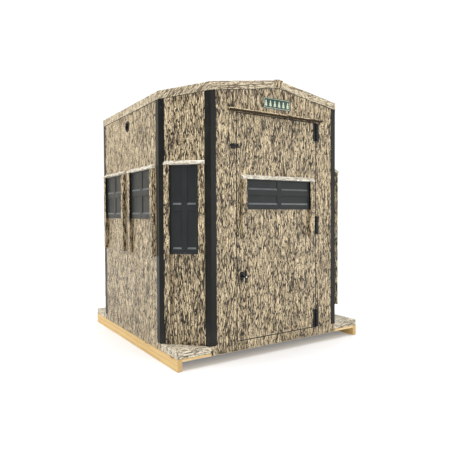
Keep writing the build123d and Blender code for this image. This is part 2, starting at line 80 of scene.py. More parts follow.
class Signal:
    """A shader output that does sums: each operator on it adds one Math node."""

    def __init__(self, bench: "Bench", socket: Any) -> None:
        """Wraps one output socket of a bench's nodes."""
        self.bench = bench
        self.socket = socket

    def _sum(self, operation: str, *values: Any) -> "Signal":
        """Adds a Math node with this operation and these inputs, in order."""
        inputs = dict(enumerate(values))
        return self.bench.node("ShaderNodeMath", {"operation": operation}, inputs)

    def __add__(self, other: Any) -> "Signal":
        """Sum."""
        return self._sum("ADD", self, other)

    def __radd__(self, other: Any) -> "Signal":
        """Sum with a number on the left."""
        return self._sum("ADD", other, self)

    def __sub__(self, other: Any) -> "Signal":
        """Difference."""
        return self._sum("SUBTRACT", self, other)

    def __rsub__(self, other: Any) -> "Signal":
        """Difference with a number on the left."""
        return self._sum("SUBTRACT", other, self)

    def __mul__(self, other: Any) -> "Signal":
        """Product."""
        return self._sum("MULTIPLY", self, other)

    def __rmul__(self, other: Any) -> "Signal":
        """Product with a number on the left."""
        return self._sum("MULTIPLY", other, self)

    def __truediv__(self, other: Any) -> "Signal":
        """Quotient."""
        return self._sum("DIVIDE", self, other)

    def __abs__(self) -> "Signal":
        """Size without sign."""
        return self._sum("ABSOLUTE", self)

    def least(self, other: Any) -> "Signal":
        """The smaller of the two."""
        return self._sum("MINIMUM", self, other)

    def most(self, other: Any) -> "Signal":
        """The larger of the two."""
        return self._sum("MAXIMUM", self, other)

    def root(self) -> "Signal":
        """Square root."""
        return self._sum("SQRT", self)

    def sine(self) -> "Signal":
        """Sine."""
        return self._sum("SINE", self)

    def part(self) -> "Signal":
        """Fractional part."""
        return self._sum("FRACT", self)

    def over(self, edge: float) -> "Signal":
        """1 where the signal is above edge, else 0."""
        return self._sum("GREATER_THAN", self, edge)

    def ease(self, low: Any, high: Any, start: float = 0.0, end: float = 1.0) -> "Signal":
        """Smooth step from start at low to end at high."""
        inputs = {0: self, 1: low, 2: high, 3: start, 4: end}
        return self.bench.node("ShaderNodeMapRange", {"interpolation_type": "SMOOTHSTEP"}, inputs)


class Bench:
    """The bench where one material's nodes are put together."""

    def __init__(self, name: str) -> None:
        """Starts a material with an output and a Principled shader.

        Args:
            name: the material's name.
        """
        self.material = bpy.data.materials.new(name)
        self.material.use_nodes = True
        self.tree = self.material.node_tree
        self.tree.nodes.clear()
        self.shader = self.tree.nodes.new("ShaderNodeBsdfPrincipled")
        output = self.tree.nodes.new("ShaderNodeOutputMaterial")
        self.tree.links.new(self.shader.outputs[0], output.inputs["Surface"])

    def _plug(self, node: Any, name: Any, value: Any) -> None:
        """Links a signal into an input, or sets the input's own value.

        Args:
            node: the node that has the input.
            name: the input's name or number.
            value: a signal, a colour, a vector or a number.
        """
        if isinstance(value, Signal):
            self.tree.links.new(value.socket, node.inputs[name])
        elif isinstance(value, tuple) and node.inputs[name].type == "RGBA":
            node.inputs[name].default_value = (*value, 1.0)
        else:
            node.inputs[name].default_value = value

    def node(
        self,
        kind: str,
        settings: dict[str, Any] | None = None,
        inputs: dict[Any, Any] | None = None,
        output: Any = 0,
    ) -> Signal:
        """Adds one node.

        Args:
            kind: the node's type.
            settings: its own settings, set first. "stops" fills a colour ramp.
            inputs: values or signals by socket name or number.
            output: the output socket to hand back.

        Returns:
            The chosen output as a signal.
        """
        made = self.tree.nodes.new(kind)
        for name, value in (settings or {}).items():
            if name == "stops":
                for place, colour in value[1:-1]:
                    made.color_ramp.elements.new(place).color = (*colour, 1.0)
                made.color_ramp.elements[0].position = value[0][0]
                made.color_ramp.elements[0].color = (*value[0][1], 1.0)
                made.color_ramp.elements[-1].position = value[-1][0]
                made.color_ramp.elements[-1].color = (*value[-1][1], 1.0)
            else:
                setattr(made, name, value)
        for name, value in (inputs or {}).items():
            self._plug(made, name, value)
        return Signal(self, made.outputs[output])

    def mix(self, share: Any, first: Any, second: Any) -> Signal:
        """Colour that goes from first to second as share goes from 0 to 1."""
        return self.node("ShaderNodeMix", {"data_type": "RGBA"}, {0: share, 6: first, 7: second}, 2)

    def vector(self, operation: str, first: Any, second: Any) -> Signal:
        """Vector Math on two vectors."""
        return self.node("ShaderNodeVectorMath", {"operation": operation}, {0: first, 1: second})

    def place(self) -> Signal:
        """Position in the object's own frame."""
        return self.node("ShaderNodeTexCoord", output="Object")

    def film(self) -> Signal:
        """Position on the film: u across its grain and v along it, in metres."""
        return self.node("ShaderNodeUVMap", {"uv_map": "film"})

    def axes(self, vector: Signal) -> tuple[Signal, Signal, Signal]:
        """Splits a vector.

        Args:
            vector: what is split.

        Returns:
            Its three parts.
        """
        split = self.node("ShaderNodeSeparateXYZ", inputs={0: vector})
        outputs = split.socket.node.outputs
        return split, Signal(self, outputs[1]), Signal(self, outputs[2])

    def normal(self) -> tuple[Signal, Signal, Signal]:
        """The three parts of the surface's normal, which turns with the piece."""
        return self.axes(self.node("ShaderNodeTexCoord", output="Normal"))

    def join(self, x: Any, y: Any, z: Any) -> Signal:
        """A vector from three parts."""
        return self.node("ShaderNodeCombineXYZ", inputs={0: x, 1: y, 2: z})

    def noise(self, where: Signal, size: Sequence[float], detail: float = 2.0) -> Signal:
        """Cloudy noise.

        Args:
            where: the position.
            size: the blobs' size along each axis.
            detail: how many finer layers are added.

        Returns:
            The noise, 0 to 1.
        """
        scaled = self.vector("DIVIDE", where, tuple(size))
        inputs = {"Vector": scaled, "Scale": 1.0, "Detail": detail}
        return self.node("ShaderNodeTexNoise", None, inputs)

    def drift(self, where: Signal, size: Sequence[float], reach: Sequence[float]) -> Signal:
        """Moves a position about by cloudy noise.

        Args:
            where: the position.
            size: the noise's blobs along each axis.
            reach: about twice the farthest move along each axis.

        Returns:
            The moved position.
        """
        noise = self.noise(where, size)
        cloud = Signal(self, noise.socket.node.outputs["Color"])
        centred = self.vector("SUBTRACT", cloud, (0.5, 0.5, 0.5))
        return self.vector("ADD", where, self.vector("MULTIPLY", centred, tuple(reach)))

    def cells(self, where: Signal, size: Sequence[float], feature: str, output: str) -> Signal:
        """Voronoi cells.

        Args:
            where: the position.
            size: a cell's size along each axis.
            feature: the node's feature.
            output: which of its outputs to hand back.

        Returns:
            The distance to the cells' edges or centres, or each cell's own colour.
        """
        scaled = self.vector("DIVIDE", where, tuple(size))
        inputs = {"Vector": scaled, "Scale": 1.0}
        return self.node("ShaderNodeTexVoronoi", {"feature": feature}, inputs, output)

    def bump(self, height: Signal, distance: float, strength: float = 1.0) -> Signal:
        """A normal bent by a height that is worth distance metres at 1."""
        inputs = {"Strength": strength, "Distance": distance, "Height": height}
        return self.node("ShaderNodeBump", None, inputs)

    def finish(self, **inputs: Any) -> bpy.types.Material:
        """Sets the shader's sockets.

        Args:
            **inputs: values or signals by socket name, with _ for a space.

        Returns:
            The finished material.
        """
        for name, value in inputs.items():
            self._plug(self.shader, name.replace("_", " "), value)
        return self.material


# ---------------------------------------------------------------- finishes


class Grain(Enum):
    """What a bark pattern follows."""

    UPRIGHT = "streaks along Z in the object's own frame"
    FILM = "streaks along the film map's v"


class Backing(Enum):
    """What lies behind the printed film, by depth below the shell's outer face."""

    NONE = 0.0
    WALL = 0.0425
    DOOR = 0.0325


@dataclass(frozen=True)
class Shell:
    """Plan of the eight-sided shell: half lengths, and half of a front or side face."""

    half_x: float
    half_y: float
    flat_x: float
    flat_y: float

    @classmethod
    def measure(cls) -> "Shell":
        """Reads the plan from the walls' boxes.

        Returns:
            The plan.
        """
        half_x = float(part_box("wall_right")[1].x)
        half_y = float(-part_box("wall_front")[0].y)
        flat_x = float(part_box("wall_front")[1].x)
        flat_y = float(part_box("wall_right")[1].y)
        plan = (half_x, half_y, flat_x, flat_y)
        LOG.info("shell plan: half %.3f by %.3f, flats %.3f by %.3f", *plan)
        return cls(*plan)

    def corners(self) -> np.ndarray:
        """Lists the corners.

        Returns:
            The eight corners in plan, counterclockwise from the front face's left end.
        """
        x, y, fx, fy = self.half_x, self.half_y, self.flat_x, self.flat_y
        plan = [(-fx, -y), (fx, -y), (x, -fy), (x, fy), (fx, y), (-fx, y), (-x, fy), (-x, -fy)]
        return np.array(plan)

    def face(self, side: int, along: float = 0.0) -> "Face":
        """Makes the frame of one face.

        Args:
            side: the face's number.
            along: how far to the right of the face's middle the origin lies.

        Returns:
            The frame.
        """
        corners = self.corners()
        start, end = corners[side], corners[(side + 1) % SIDES]
        right = (end - start) / np.linalg.norm(end - start)
        out = np.array([right[1], -right[0]])
        return Face((start + end) / 2 + right * along, right, out)

    def half(self, side: int) -> float:
        """Half of a face's width."""
        corners = self.corners()
        return np.linalg.norm(corners[(side + 1) % SIDES] - corners[side]) / 2


@dataclass(frozen=True)
class Face:
    """A flat face of the shell: a frame of right, out and up, seen from outside."""

    origin: np.ndarray
    right: np.ndarray
    out: np.ndarray

    def at(self, along: Any, out: Any, up: Any) -> np.ndarray:
        """Places points on or off the face.

        Args:
            along: how far right of the origin.
            out: how far out of the face.
            up: height above the ground.

        Returns:
            The points, their three coordinates on the last axis.
        """
        along, out, up = np.broadcast_arrays(along, out, up)
        plan = self.origin + along[..., None] * self.right + out[..., None] * self.out
        return np.concatenate([plan, up[..., None]], axis=-1)

    def near(self, point: Vector) -> float:
        """How far to the right of the origin a point lies."""
        return float((np.array(point)[:2] - self.origin) @ self.right)


SHELL = Shell.measure()
FRONT, FRONT_RIGHT, RIGHT, REAR_RIGHT, REAR, REAR_LEFT, LEFT, FRONT_LEFT = range(SIDES)


@dataclass(frozen=True)
class BarkFilm:
    """Printed bark film: cream and tan plates parted by upright dark fissures, satin on top."""

    name: str
    grain: Grain = Grain.UPRIGHT
    backing: Backing = Backing.NONE
    lining_and_shade_below: bool = False
    cream: Colour = (0.88, 0.72, 0.465)
    tan: Colour = (0.32, 0.233, 0.127)
    brown: Colour = (0.105, 0.07, 0.033)
    dark: Colour = (0.024, 0.0155, 0.007)
    liner_and_shade: Colour = (0.035, 0.033, 0.03)
    edge: Colour = (0.012, 0.012, 0.012)
    plate: tuple[float, float] = (0.0078, 0.078)
    fissure: float = 0.21
    lift: float = 1.0
    sheen: float = 0.32
    # Painted shade: half width, foot and head of the door, round which a dark band stands in for the
    # gap's shadow.
    rim: tuple[float, float, float] | None = None

    def make(self) -> bpy.types.Material:
        """Builds the material.

        The position is moved about by slow noise, and divided by a plate's width and length. Edge
        distances of the cells there are fissures, whose width follows another noise, and so are the
        lines where a long noise crosses its middle. Each cell's random value picks its tone between
        cream and brown, and fine stretched noise streaks it.

        Returns:
            The material.
        """
        bench = Bench(self.name)
        width, length = self.plate
        if self.grain is Grain.UPRIGHT:
            where = bench.place()
        else:
            u, v, _ = bench.axes(bench.film())
            where = bench.join(u, 0.31, v)
        across = (width * 2.4, width * 2.4, length * 0.8)
        bent = bench.drift(where, across, (width * 0.6, width * 0.6, length * 0.9))
        shiver = (width * 0.5, width * 0.5, length * 0.35)
        bent = bench.drift(bent, shiver, (width * 0.3, width * 0.3, 4 * MM))
        size = (width, width, length)
        edges = bench.cells(bent, size, "DISTANCE_TO_EDGE", "Distance")
        own = bench.axes(bench.cells(bent, size, "F1", "Color"))
        fine = (width * 0.6, width * 0.6, length * 0.2)
        small = bench.cells(bent, fine, "DISTANCE_TO_EDGE", "Distance")
        small_own = bench.axes(bench.cells(bent, fine, "F1", "Color"))
        streaks = bench.noise(where, (width * 0.4, width * 0.4, length * 1.6), 3.0)
        zones = bench.noise(where, (0.12, 0.12, 0.2), 3.0)
        rifts = bench.noise(bent, (width * 2.6, width * 2.6, length * 3.2), 1.0)
        rift = abs(rifts - 0.5).ease(0.01, 0.04, 1.0, 0.0) * zones.ease(0.15, 0.45)
        ribs = bench.noise(bent, (width * 0.9, width * 0.9, length * 6), 1.0)
        swelling = bench.noise(where, (0.03, 0.03, 0.12), 1.0)
        thick = swelling.ease(0.3, 0.72, 0.45, 1.15) * self.fissure
        crack = edges.ease(thick * 0.3, thick, 1.0, 0.0).most(rift)
        hair = small.ease(0.015, 0.16, 1.0, 0.0) * small_own[1].ease(0.2, 0.6)
        grit = bench.noise(where, (0.0045, 0.0045, 0.011), 2.0)
        tone = own[0] * 0.2 + small_own[0] * 0.4 + streaks * 1.1 + ribs * 0.6 + zones * 0.2
        tone = tone + grit * 0.8 - self.lift - 0.36
        stops = [(0.0, self.cream), (0.24, self.cream), (0.52, self.tan), (0.95, self.brown)]
        body = bench.node("ShaderNodeValToRGB", {"stops": stops}, {"Fac": tone})
        body = bench.mix(hair * 0.8, body, self.brown)
        colour = bench.mix(crack, body, self.dark)
        gloss = streaks.ease(0.2, 0.8, 0.34, 0.5) + zones.ease(0.3, 0.7, 0.0, 0.08)
        normal_map = bench.bump(bench.noise(where, (0.011, 0.011, 0.016), 1.0), 0.0004, 0.35)
        if self.backing is not Backing.NONE:
            depth = self.depth(bench)
            skin, inside = depth.over(0.6 * MM), depth.over(self.backing.value)
            colour = bench.mix(skin, colour, self.edge)
            colour = bench.mix(inside, colour, self.felt(bench))
            gloss = gloss.most(skin * 0.55).most(inside * 0.92)
        # Faces that turn down get the felt colour: under the roof and deck, and as painted shade
        # under the rain guard.
        if self.lining_and_shade_below:
            below = (0.0 - bench.normal()[2]).over(0.5)
            colour = bench.mix(below, colour, self.felt(bench))
            gloss = gloss.most(below * 0.92)
        # Painted shade: a dark band 4 to 5 mm wide round the face's outline stands in for the shadow
        # in the door's gap.
        if self.rim:
            half, foot, head = self.rim
            x, _, z = bench.axes(bench.place())
            away = (abs(abs(x) - half)).least(abs(z - foot)).least(abs(z - head))
            for past in (abs(x) - half, foot - z, z - head):
                away = away + past.over(10 * MM)
            colour = bench.mix(away.ease(4 * MM, 5 * MM, 1.0, 0.0), colour, self.edge)
        bench.shader.inputs["Specular IOR Level"].default_value = self.sheen
        return bench.finish(Base_Color=colour, Roughness=gloss, Normal=normal_map)

    def felt(self, bench: Bench) -> Signal:
        """Flecked lining behind the film, also painted under the rain guard as shade."""
        fibre = bench.noise(bench.place(), (2.5 * MM,) * 3, 3.0)
        return bench.mix(fibre.ease(0.3, 0.7), self.edge, self.liner_and_shade)

    @staticmethod
    def depth(bench: Bench) -> Signal:
        """Depth below the shell's outer faces: the least distance to any of its eight planes.

        Args:
            bench: where the nodes are added.

        Returns:
            The depth, in metres.
        """
        x, y, _ = bench.axes(bench.place())
        to_corner = (SHELL.half_x + SHELL.flat_y) * math.sqrt(0.5)
        along_x, along_y = abs(x), abs(y)
        corner = to_corner - (along_x + along_y) * math.sqrt(0.5)
        return (SHELL.half_x - along_x).least(SHELL.half_y - along_y).least(corner)


@dataclass(frozen=True)
class PineBoard:
    """Planed pine: grain lines along the board, scattered knots and darker end grain."""

    name: str
    along: int = 1
    pale: Colour = (0.68, 0.48, 0.2)
    late: Colour = (0.54, 0.33, 0.115)
    knot: Colour = (0.2, 0.085, 0.03)
    end: Colour = (0.55, 0.38, 0.17)
    ring: float = 0.0065

    def make(self) -> bpy.types.Material:
        """Builds the material.

        Rings are a sine of the distance from a pith line beside the board, which noise bends along
        its length. Knots are dark discs at the middles of large cells, with the grain swept round.

        Returns:
            The material.
        """
        bench = Bench(self.name)
        where = bench.place()
        stretch = [0.05, 0.05, 0.05]
        stretch[self.along] = 0.55
        sway = [0.012, 0.012, 0.012]
        bent = bench.drift(where, stretch, sway)
        parts = list(bench.axes(bent))
        cross = [i for i in range(3) if i != self.along]
        room = [0.11, 0.11, 0.11]
        room[self.along] = 0.33
        knots = bench.cells(where, room, "F1", "Distance")
        pick = bench.axes(bench.cells(where, room, "F1", "Color"))[0]
        knot = knots.ease(0.05, 0.12, 1.0, 0.0) * pick.over(0.45)
        halo = knots.ease(0.1, 0.32, 1.0, 0.0) * pick.over(0.45)
        a, b = parts[cross[0]] + 0.037, parts[cross[1]] + 0.11
        radius = (a * a + b * b).root() + halo * 0.006
        rings = (radius * (2 * math.pi / self.ring)).sine() * 0.5 + 0.5
        fibre_size = [0.0016, 0.0016, 0.0016]
        fibre_size[self.along] = 0.09
        fibre = bench.noise(where, fibre_size, 3.0)
        patch = bench.noise(where, (0.2, 0.3, 0.2), 2.0)
        late = (rings * rings) * 0.55 + fibre * 0.35 + patch * 0.35 - 0.28
        colour = bench.mix(late.ease(0.0, 1.0), self.pale, self.late)
        ends = abs(bench.normal()[self.along]).over(0.7)
        colour = bench.mix(ends, colour, bench.mix(rings * 0.7, self.end, self.late))
        colour = bench.mix(halo * 0.45, colour, self.late)
        colour = bench.mix(knot, colour, self.knot)
        relief = bench.bump(fibre * 0.6 + rings * 0.4, 0.6 * MM, 0.5)
        rough = fibre.ease(0.2, 0.8, 0.5, 0.72)
        return bench.finish(Base_Color=colour, Roughness=rough, Normal=relief)


@dataclass(frozen=True)
class Coated:
    """Coated metal or moulded plastic: fine stipple, mottled gloss, dust low and in patches, and a
    painted highlight in the dust colour on faces that turn up.
    """

    name: str
    base: Colour
    dust: Colour = (0.2, 0.185, 0.16)
    dusty: float = 0.12
    gloss: tuple[float, float] = (0.3, 0.48)
    stipple: float = 0.0011
    relief: float = 0.00012
    metal: float = 0.0
    low: float = 0.0
    sheen: float = 0.25
    # Share of painted highlight, in the dust colour, on faces that turn up where light falls.
    ledge: float = 0.0

    def make(self) -> bpy.types.Material:
        """Builds the material: dust follows cloudy noise and grows below low metres; ledge paints a
        highlight on faces that turn up.

        Returns:
            The material.
        """
        bench = Bench(self.name)
        where = bench.place()
        clouds = bench.noise(where, (0.07, 0.07, 0.13), 4.0)
        grit = bench.noise(where, (self.stipple,) * 3, 2.0)
        streak = bench.noise(where, (0.006, 0.006, 0.16), 2.0)
        dust_and_ledge_highlight = clouds.ease(0.42, 0.75) * streak.ease(0.35, 0.7, 0.5, 1.0) * self.dusty
        if self.low:
            _, _, z = bench.axes(where)
            dust_and_ledge_highlight = dust_and_ledge_highlight + z.ease(0.1, self.low, self.dusty * 1.3, 0.0) * clouds
        # Painted highlight: faces that turn up are lightened towards the dust colour, as if lit from
        # above.
        if self.ledge:
            facing_up = bench.normal()[2].ease(0.15, 0.38)
            dust_and_ledge_highlight = dust_and_ledge_highlight + facing_up * clouds.ease(0.2, 0.7, 0.6, 1.0) * self.ledge
        fleck = tuple(c * 1.7 for c in self.base)
        colour = bench.mix(grit.ease(0.3, 0.7, 0.0, 0.35), self.base, fleck)
        colour = bench.mix(dust_and_ledge_highlight, colour, self.dust)
        rough = clouds.ease(0.3, 0.7, *self.gloss) + dust_and_ledge_highlight * 0.9
        relief = bench.bump(grit, self.relief, 0.5)
        bench.shader.inputs["Specular IOR Level"].default_value = self.sheen
        return bench.finish(Base_Color=colour, Roughness=rough, Metallic=self.metal, Normal=relief)


@dataclass(frozen=True)
class BrightMetal:
    """Plated metal: hairline scratches one way and soft tarnish."""

    name: str
    base: Colour = (0.72, 0.72, 0.73)
    gloss: tuple[float, float] = (0.12, 0.34)

    def make(self) -> bpy.types.Material:
        """Builds the material from stretched scratches and cloudy tarnish.

        Returns:
            The material.
        """
        bench = Bench(self.name)
        where = bench.place()
        hair = bench.noise(where, (0.0004, 0.0004, 0.006), 3.0)
        tarnish = bench.noise(where, (0.008, 0.008, 0.008), 3.0)
        worn = tuple(c * 0.6 for c in self.base)
        colour = bench.mix(tarnish.ease(0.45, 0.75, 0.0, 0.6), self.base, worn)
        rough = hair.ease(0.3, 0.7, *self.gloss) + tarnish.ease(0.4, 0.8, 0.0, 0.12)
        relief = bench.bump(hair, 0.05 * MM)
        return bench.finish(Base_Color=colour, Roughness=rough, Metallic=1.0, Normal=relief)


@dataclass(frozen=True)
class SignPrint:
    """Dark green plate with a pale border line and a plain row of conifers."""

    name: str
    centre: tuple[float, float]
    half: tuple[float, float]
    green: Colour = (0.008, 0.035, 0.024)
    pale: Colour = (0.5, 0.58, 0.42)
    border: float = 0.003
    inset: float = 0.005
    tree_pitch: float = 0.044
    tree_height: float = 0.052
    tree_foot: float = -0.026

    def make(self) -> bpy.types.Material:
        """Builds the material.

        The border is a band at a fixed distance from the plate's edge. A tree is where the distance
        from its middle is less than a saw-tooth that narrows three times on the way up.

        Returns:
            The material.
        """
        bench = Bench(self.name)
        x, _, z = bench.axes(bench.place())
        along, up = x - self.centre[0], z - self.centre[1]
        to_edge = (self.half[0] - abs(along)).least(self.half[1] - abs(up))
        line = to_edge.over(self.inset) * (1 - to_edge.over(self.inset + self.border))
        away = abs((along / self.tree_pitch).part() - 0.5) * self.tree_pitch
        share = (up - self.tree_foot) / self.tree_height
        tier = (share * 3.0).part()
        reach = (1.0 - share) * 0.011 + (1.0 - tier) * 0.0045
        tree = (reach - away).over(0.0) * share.over(0.06) * (1 - share.over(0.97))
        trunk = (0.0016 - away).over(0.0) * share.over(-0.08) * (1 - share.over(0.1))
        inside = to_edge.over(self.inset + 2 * self.border)
        print_mask = line.most(tree.most(trunk) * inside)
        wear = bench.noise(bench.place(), (0.004, 0.004, 0.004), 3.0)
        print_mask = print_mask * wear.ease(0.25, 0.4, 0.75, 1.0)
        colour = bench.mix(print_mask, self.green, self.pale)
        rough = wear.ease(0.3, 0.7, 0.26, 0.42)
        return bench.finish(Base_Color=colour, Roughness=rough, Coat_Weight=0.1)


# ---------------------------------------------------------------- surfaces


class Shape:
    """Vertices, faces and film coordinates of one piece, gathered from several surfaces."""

    def __init__(self) -> None:
        """Starts with nothing."""
        self.points: list[np.ndarray] = []
        self.faces: list[list[int]] = []
        self.film: list[np.ndarray] = []
        self.count = 0

    def add(
        self, points: np.ndarray, faces: Sequence[np.ndarray], film: Sequence[np.ndarray]
    ) -> None:
        """Adds one closed surface.

        Args:
            points: vertices, one per row.
            faces: arrays of vertex numbers, one face per row.
            film: for each array in faces, its corners' film coordinates.
        """
        for rows, coordinates in zip(faces, film):
            self.faces.extend((rows + self.count).tolist())
            self.film.append(coordinates.reshape(-1, 2))
        self.points.append(points.reshape(-1, 3))
        self.count += len(self.points[-1])

    def piece(
        self, name: str, material: bpy.types.Material, smooth: float = 0.0
    ) -> bpy.types.Object:
        """Makes the mesh and its object, at the origin.

        Args:
            name: the piece's name.
            material: its finish.
            smooth: faces that meet at less than this many degrees are shaded as one; 0 is flat.

        Returns:
            The new object, linked to the scene.
        """
        mesh = bpy.data.meshes.new(name)
        mesh.from_pydata(np.concatenate(self.points).tolist(), [], self.faces)
        layer = mesh.uv_layers.new(name="film")
        layer.data.foreach_set("uv", np.concatenate(self.film).astype(np.float32).ravel())
        work = bmesh.new()
        work.from_mesh(mesh)
        bmesh.ops.recalc_face_normals(work, faces=work.faces)
        work.to_mesh(mesh)
        work.free()
        mesh.polygons.foreach_set("use_smooth", np.full(len(mesh.polygons), smooth > 0))
        if smooth > 0:
            mesh.set_sharp_from_angle(angle=math.radians(smooth))
        mesh.materials.append(material)
        made = bpy.data.objects.new(name, mesh)
        bpy.context.scene.collection.objects.link(made)
        return made


def grid_faces(rows: int, columns: int, closed: bool) -> np.ndarray:
    """Quads of a grid of vertices, row by row.

    Args:
        rows, columns: the grid's size.
        closed: whether the last column joins the first.

    Returns:
        The quads' vertex numbers, one quad per row.
    """
    across = columns if closed else columns - 1
    i, j = np.meshgrid(np.arange(rows - 1), np.arange(across), indexing="ij")
    after = (j + 1) % columns
    low, high = i * columns, (i + 1) * columns
    return np.stack([low + j, low + after, high + after, high + j], -1).reshape(-1, 4)


def grid_film(u: np.ndarray, v: np.ndarray) -> np.ndarray:
    """Film coordinates of the same quads' corners.

    Args:
        u, v: coordinates at the grid's points, with one column more than a closed mesh has.

    Returns:
        Four pairs for each quad.
    """
    both = np.stack([u, v], -1)
    corners = np.stack([both[:-1, :-1], both[:-1, 1:], both[1:, 1:], both[1:, :-1]], axis=2)
    return corners.reshape(-1, 4, 2)


@dataclass(frozen=True)
class Outline:
    """Closed counterclockwise outline: points and outward normals."""

    points: np.ndarray
    normals: np.ndarray
    tight: float = math.inf

    @classmethod
    def rounded(
        cls, corners: Sequence[Sequence[float]], radius: Any, steps: int = 4, guard: float = 0.0004
    ) -> "Outline":
        """Polygon with an arc at each corner.

        Each arc starts and ends a setback of radius * tan(half the turn) from its corner, and its
        points are its centre plus the radius along a normal that turns evenly. A point a little
        before and after each arc keeps the flats flat when shaded smooth.

        Args:
            corners: the polygon, counterclockwise.
            radius: one radius, or one for each corner.
            steps: straight parts in each arc.
            guard: how far the guard points stand from the arc.

        Returns:
            The rounded outline.
        """
        c = np.array(corners, float)
        r = np.broadcast_to(np.asarray(radius, float), (len(c),))
        before, after = c - np.roll(c, 1, 0), np.roll(c, -1, 0) - c
        d0 = before / np.linalg.norm(before, axis=1)[:, None]
        d1 = after / np.linalg.norm(after, axis=1)[:, None]
        turn = np.arctan2(d0[:, 0] * d1[:, 1] - d0[:, 1] * d1[:, 0], (d0 * d1).sum(1))
        sign = np.sign(turn)
        n0 = np.stack([d0[:, 1], -d0[:, 0]], 1)
        setback = r * np.tan(np.abs(turn) / 2)
        centre = c - d0 * setback[:, None] - n0 * (r * sign)[:, None]
        t = np.linspace(0, 1, steps + 1)
        angle = np.arctan2(n0[:, 1], n0[:, 0])[:, None] + turn[:, None] * t
        normals = np.stack([np.cos(angle), np.sin(angle)], -1)
        points = centre[:, None] + normals * (r * sign)[:, None, None]
        first = points[:, :1] - d0[:, None] * guard
        last = points[:, -1:] + d1[:, None] * guard
        points = np.concatenate([first, points, last], 1)
        normals = np.concatenate([normals[:, :1], normals, normals[:, -1:]], 1)
        tight = float(r[sign > 0].min())
        return cls(points.reshape(-1, 2), normals.reshape(-1, 2), tight)

    @classmethod
    def ellipse(cls, a: float, b: float, count: int = 24, power: float = 1.0) -> "Outline":
        """Ellipse, squared or not.

        Args:
            a, b: half lengths.
            count: points round it.
            power: under 1 squares it.

        Returns:
            The outline.
        """
        t = np.linspace(0, 2 * np.pi, count, endpoint=False)
        x, y = (np.sign(c) * np.abs(c) ** power for c in (np.cos(t), np.sin(t)))
        points = np.stack([a * x, b * y], 1)
        ring = np.roll(points, -1, 0) - np.roll(points, 1, 0)
        normals = np.stack([ring[:, 1], -ring[:, 0]], 1)
        return cls(points, normals / np.linalg.norm(normals, axis=1)[:, None])

    def lengths(self) -> np.ndarray:
        """Distance round the outline at each point, and the whole of it at the end."""
        steps = np.linalg.norm(np.roll(self.points, -1, 0) - self.points, axis=1)
        return np.concatenate([[0.0], np.cumsum(steps)])


Place = Callable[[np.ndarray, np.ndarray, np.ndarray], np.ndarray]


def prism(
    shape: Shape,
    outline: Outline,
    place: Place,
    start: Any,
    end: Any,
    ease: float = 0.6 * MM,
    steps: int = 3,
    film_at: tuple[float, float] = (0.0, 0.0),
    folded: bool = False,
) -> None:
    """Carries an outline along a straight path, with eased ends.

    At a quarter-turn angle f the ring is inset by ease * (1 - sin f) and stands ease * (1 - cos f)
    from the end, so both ends roll over in a quarter circle. No outer corner's radius is passed.

    Args:
        shape: what the surface is added to.
        outline: the section.
        place: turns the section's two coordinates and the station into points.
        start, end: stations of the ends, one number or one for each outline point.
        ease: radius of the eased ends.
        steps: straight parts in that radius.
        film_at: film coordinates of the outline's first point at station 0.
        folded: the film lies flat over the far end and folds down the sides, with its grain along
            the outline's first axis: a side point's coordinates are its plan moved out by its drop.
    """
    ease = min(ease, outline.tight)
    f = np.linspace(0, np.pi / 2, steps + 1)
    guard = ease * 0.5
    inset = np.concatenate([ease * (1 - np.sin(f)), [0.0]])
    run = np.concatenate([ease * (1 - np.cos(f)), [ease + guard]])
    inset, run = np.concatenate([inset, inset[::-1]]), np.concatenate([run, run[::-1]])
    far = np.arange(len(run)) >= len(run) // 2
    count = len(outline.points)
    first, last = np.broadcast_to(start, (count,)), np.broadcast_to(end, (count,))
    station = np.where(far[:, None], last - run[:, None], first + run[:, None])
    flat = outline.points - outline.normals * inset[:, None, None]
    points = place(flat[..., 0], flat[..., 1], station)
    rows = len(run)
    u = np.broadcast_to(outline.lengths() + film_at[0], (rows, count + 1))
    v = np.concatenate([station, station[:, :1]], 1) + film_at[1]
    caps = np.stack([np.arange(count)[::-1], (rows - 1) * count + np.arange(count)])
    cap_film = np.stack([flat[0][::-1], flat[-1]]) + np.array(film_at)
    if folded:
        spread = flat + outline.normals * (last - station)[..., None]
        spread = np.concatenate([spread, spread[:, :1]], 1)[..., ::-1]
        u, v = spread[..., 0], spread[..., 1]
        cap_film = cap_film[..., ::-1]
    shape.add(points, [grid_faces(rows, count, True), caps], [grid_film(u, v), cap_film])


def turned(shape: Shape, profile: Sequence[Sequence[float]], place: Place, count: int = 16) -> None:
    """Turns a profile of (radius, height) about the third axis of place, closed at both ends.

    Args:
        shape: what the surface is added to.
        profile: radius and height pairs, no radius 0.
        place: turns two plan coordinates and a height into points.
        count: points round the axis.
    """
    r, h = np.array(profile, float).T
    t = np.linspace(0, 2 * np.pi, count, endpoint=False)
    rows = len(r)
    u = np.broadcast_to(np.linspace(0, 2 * np.pi, count + 1) * r.max(), (rows, count + 1))
    v = np.broadcast_to(h[:, None], (rows, count + 1))
    rings = place(r[:, None] * np.cos(t), r[:, None] * np.sin(t), v[:, :count])
    ends = np.stack([np.arange(count)[::-1], (rows - 1) * count + np.arange(count)])
    faces = [grid_faces(rows, count, True), ends]
    shape.add(rings, faces, [grid_film(u, v), np.zeros((2, count, 2))])


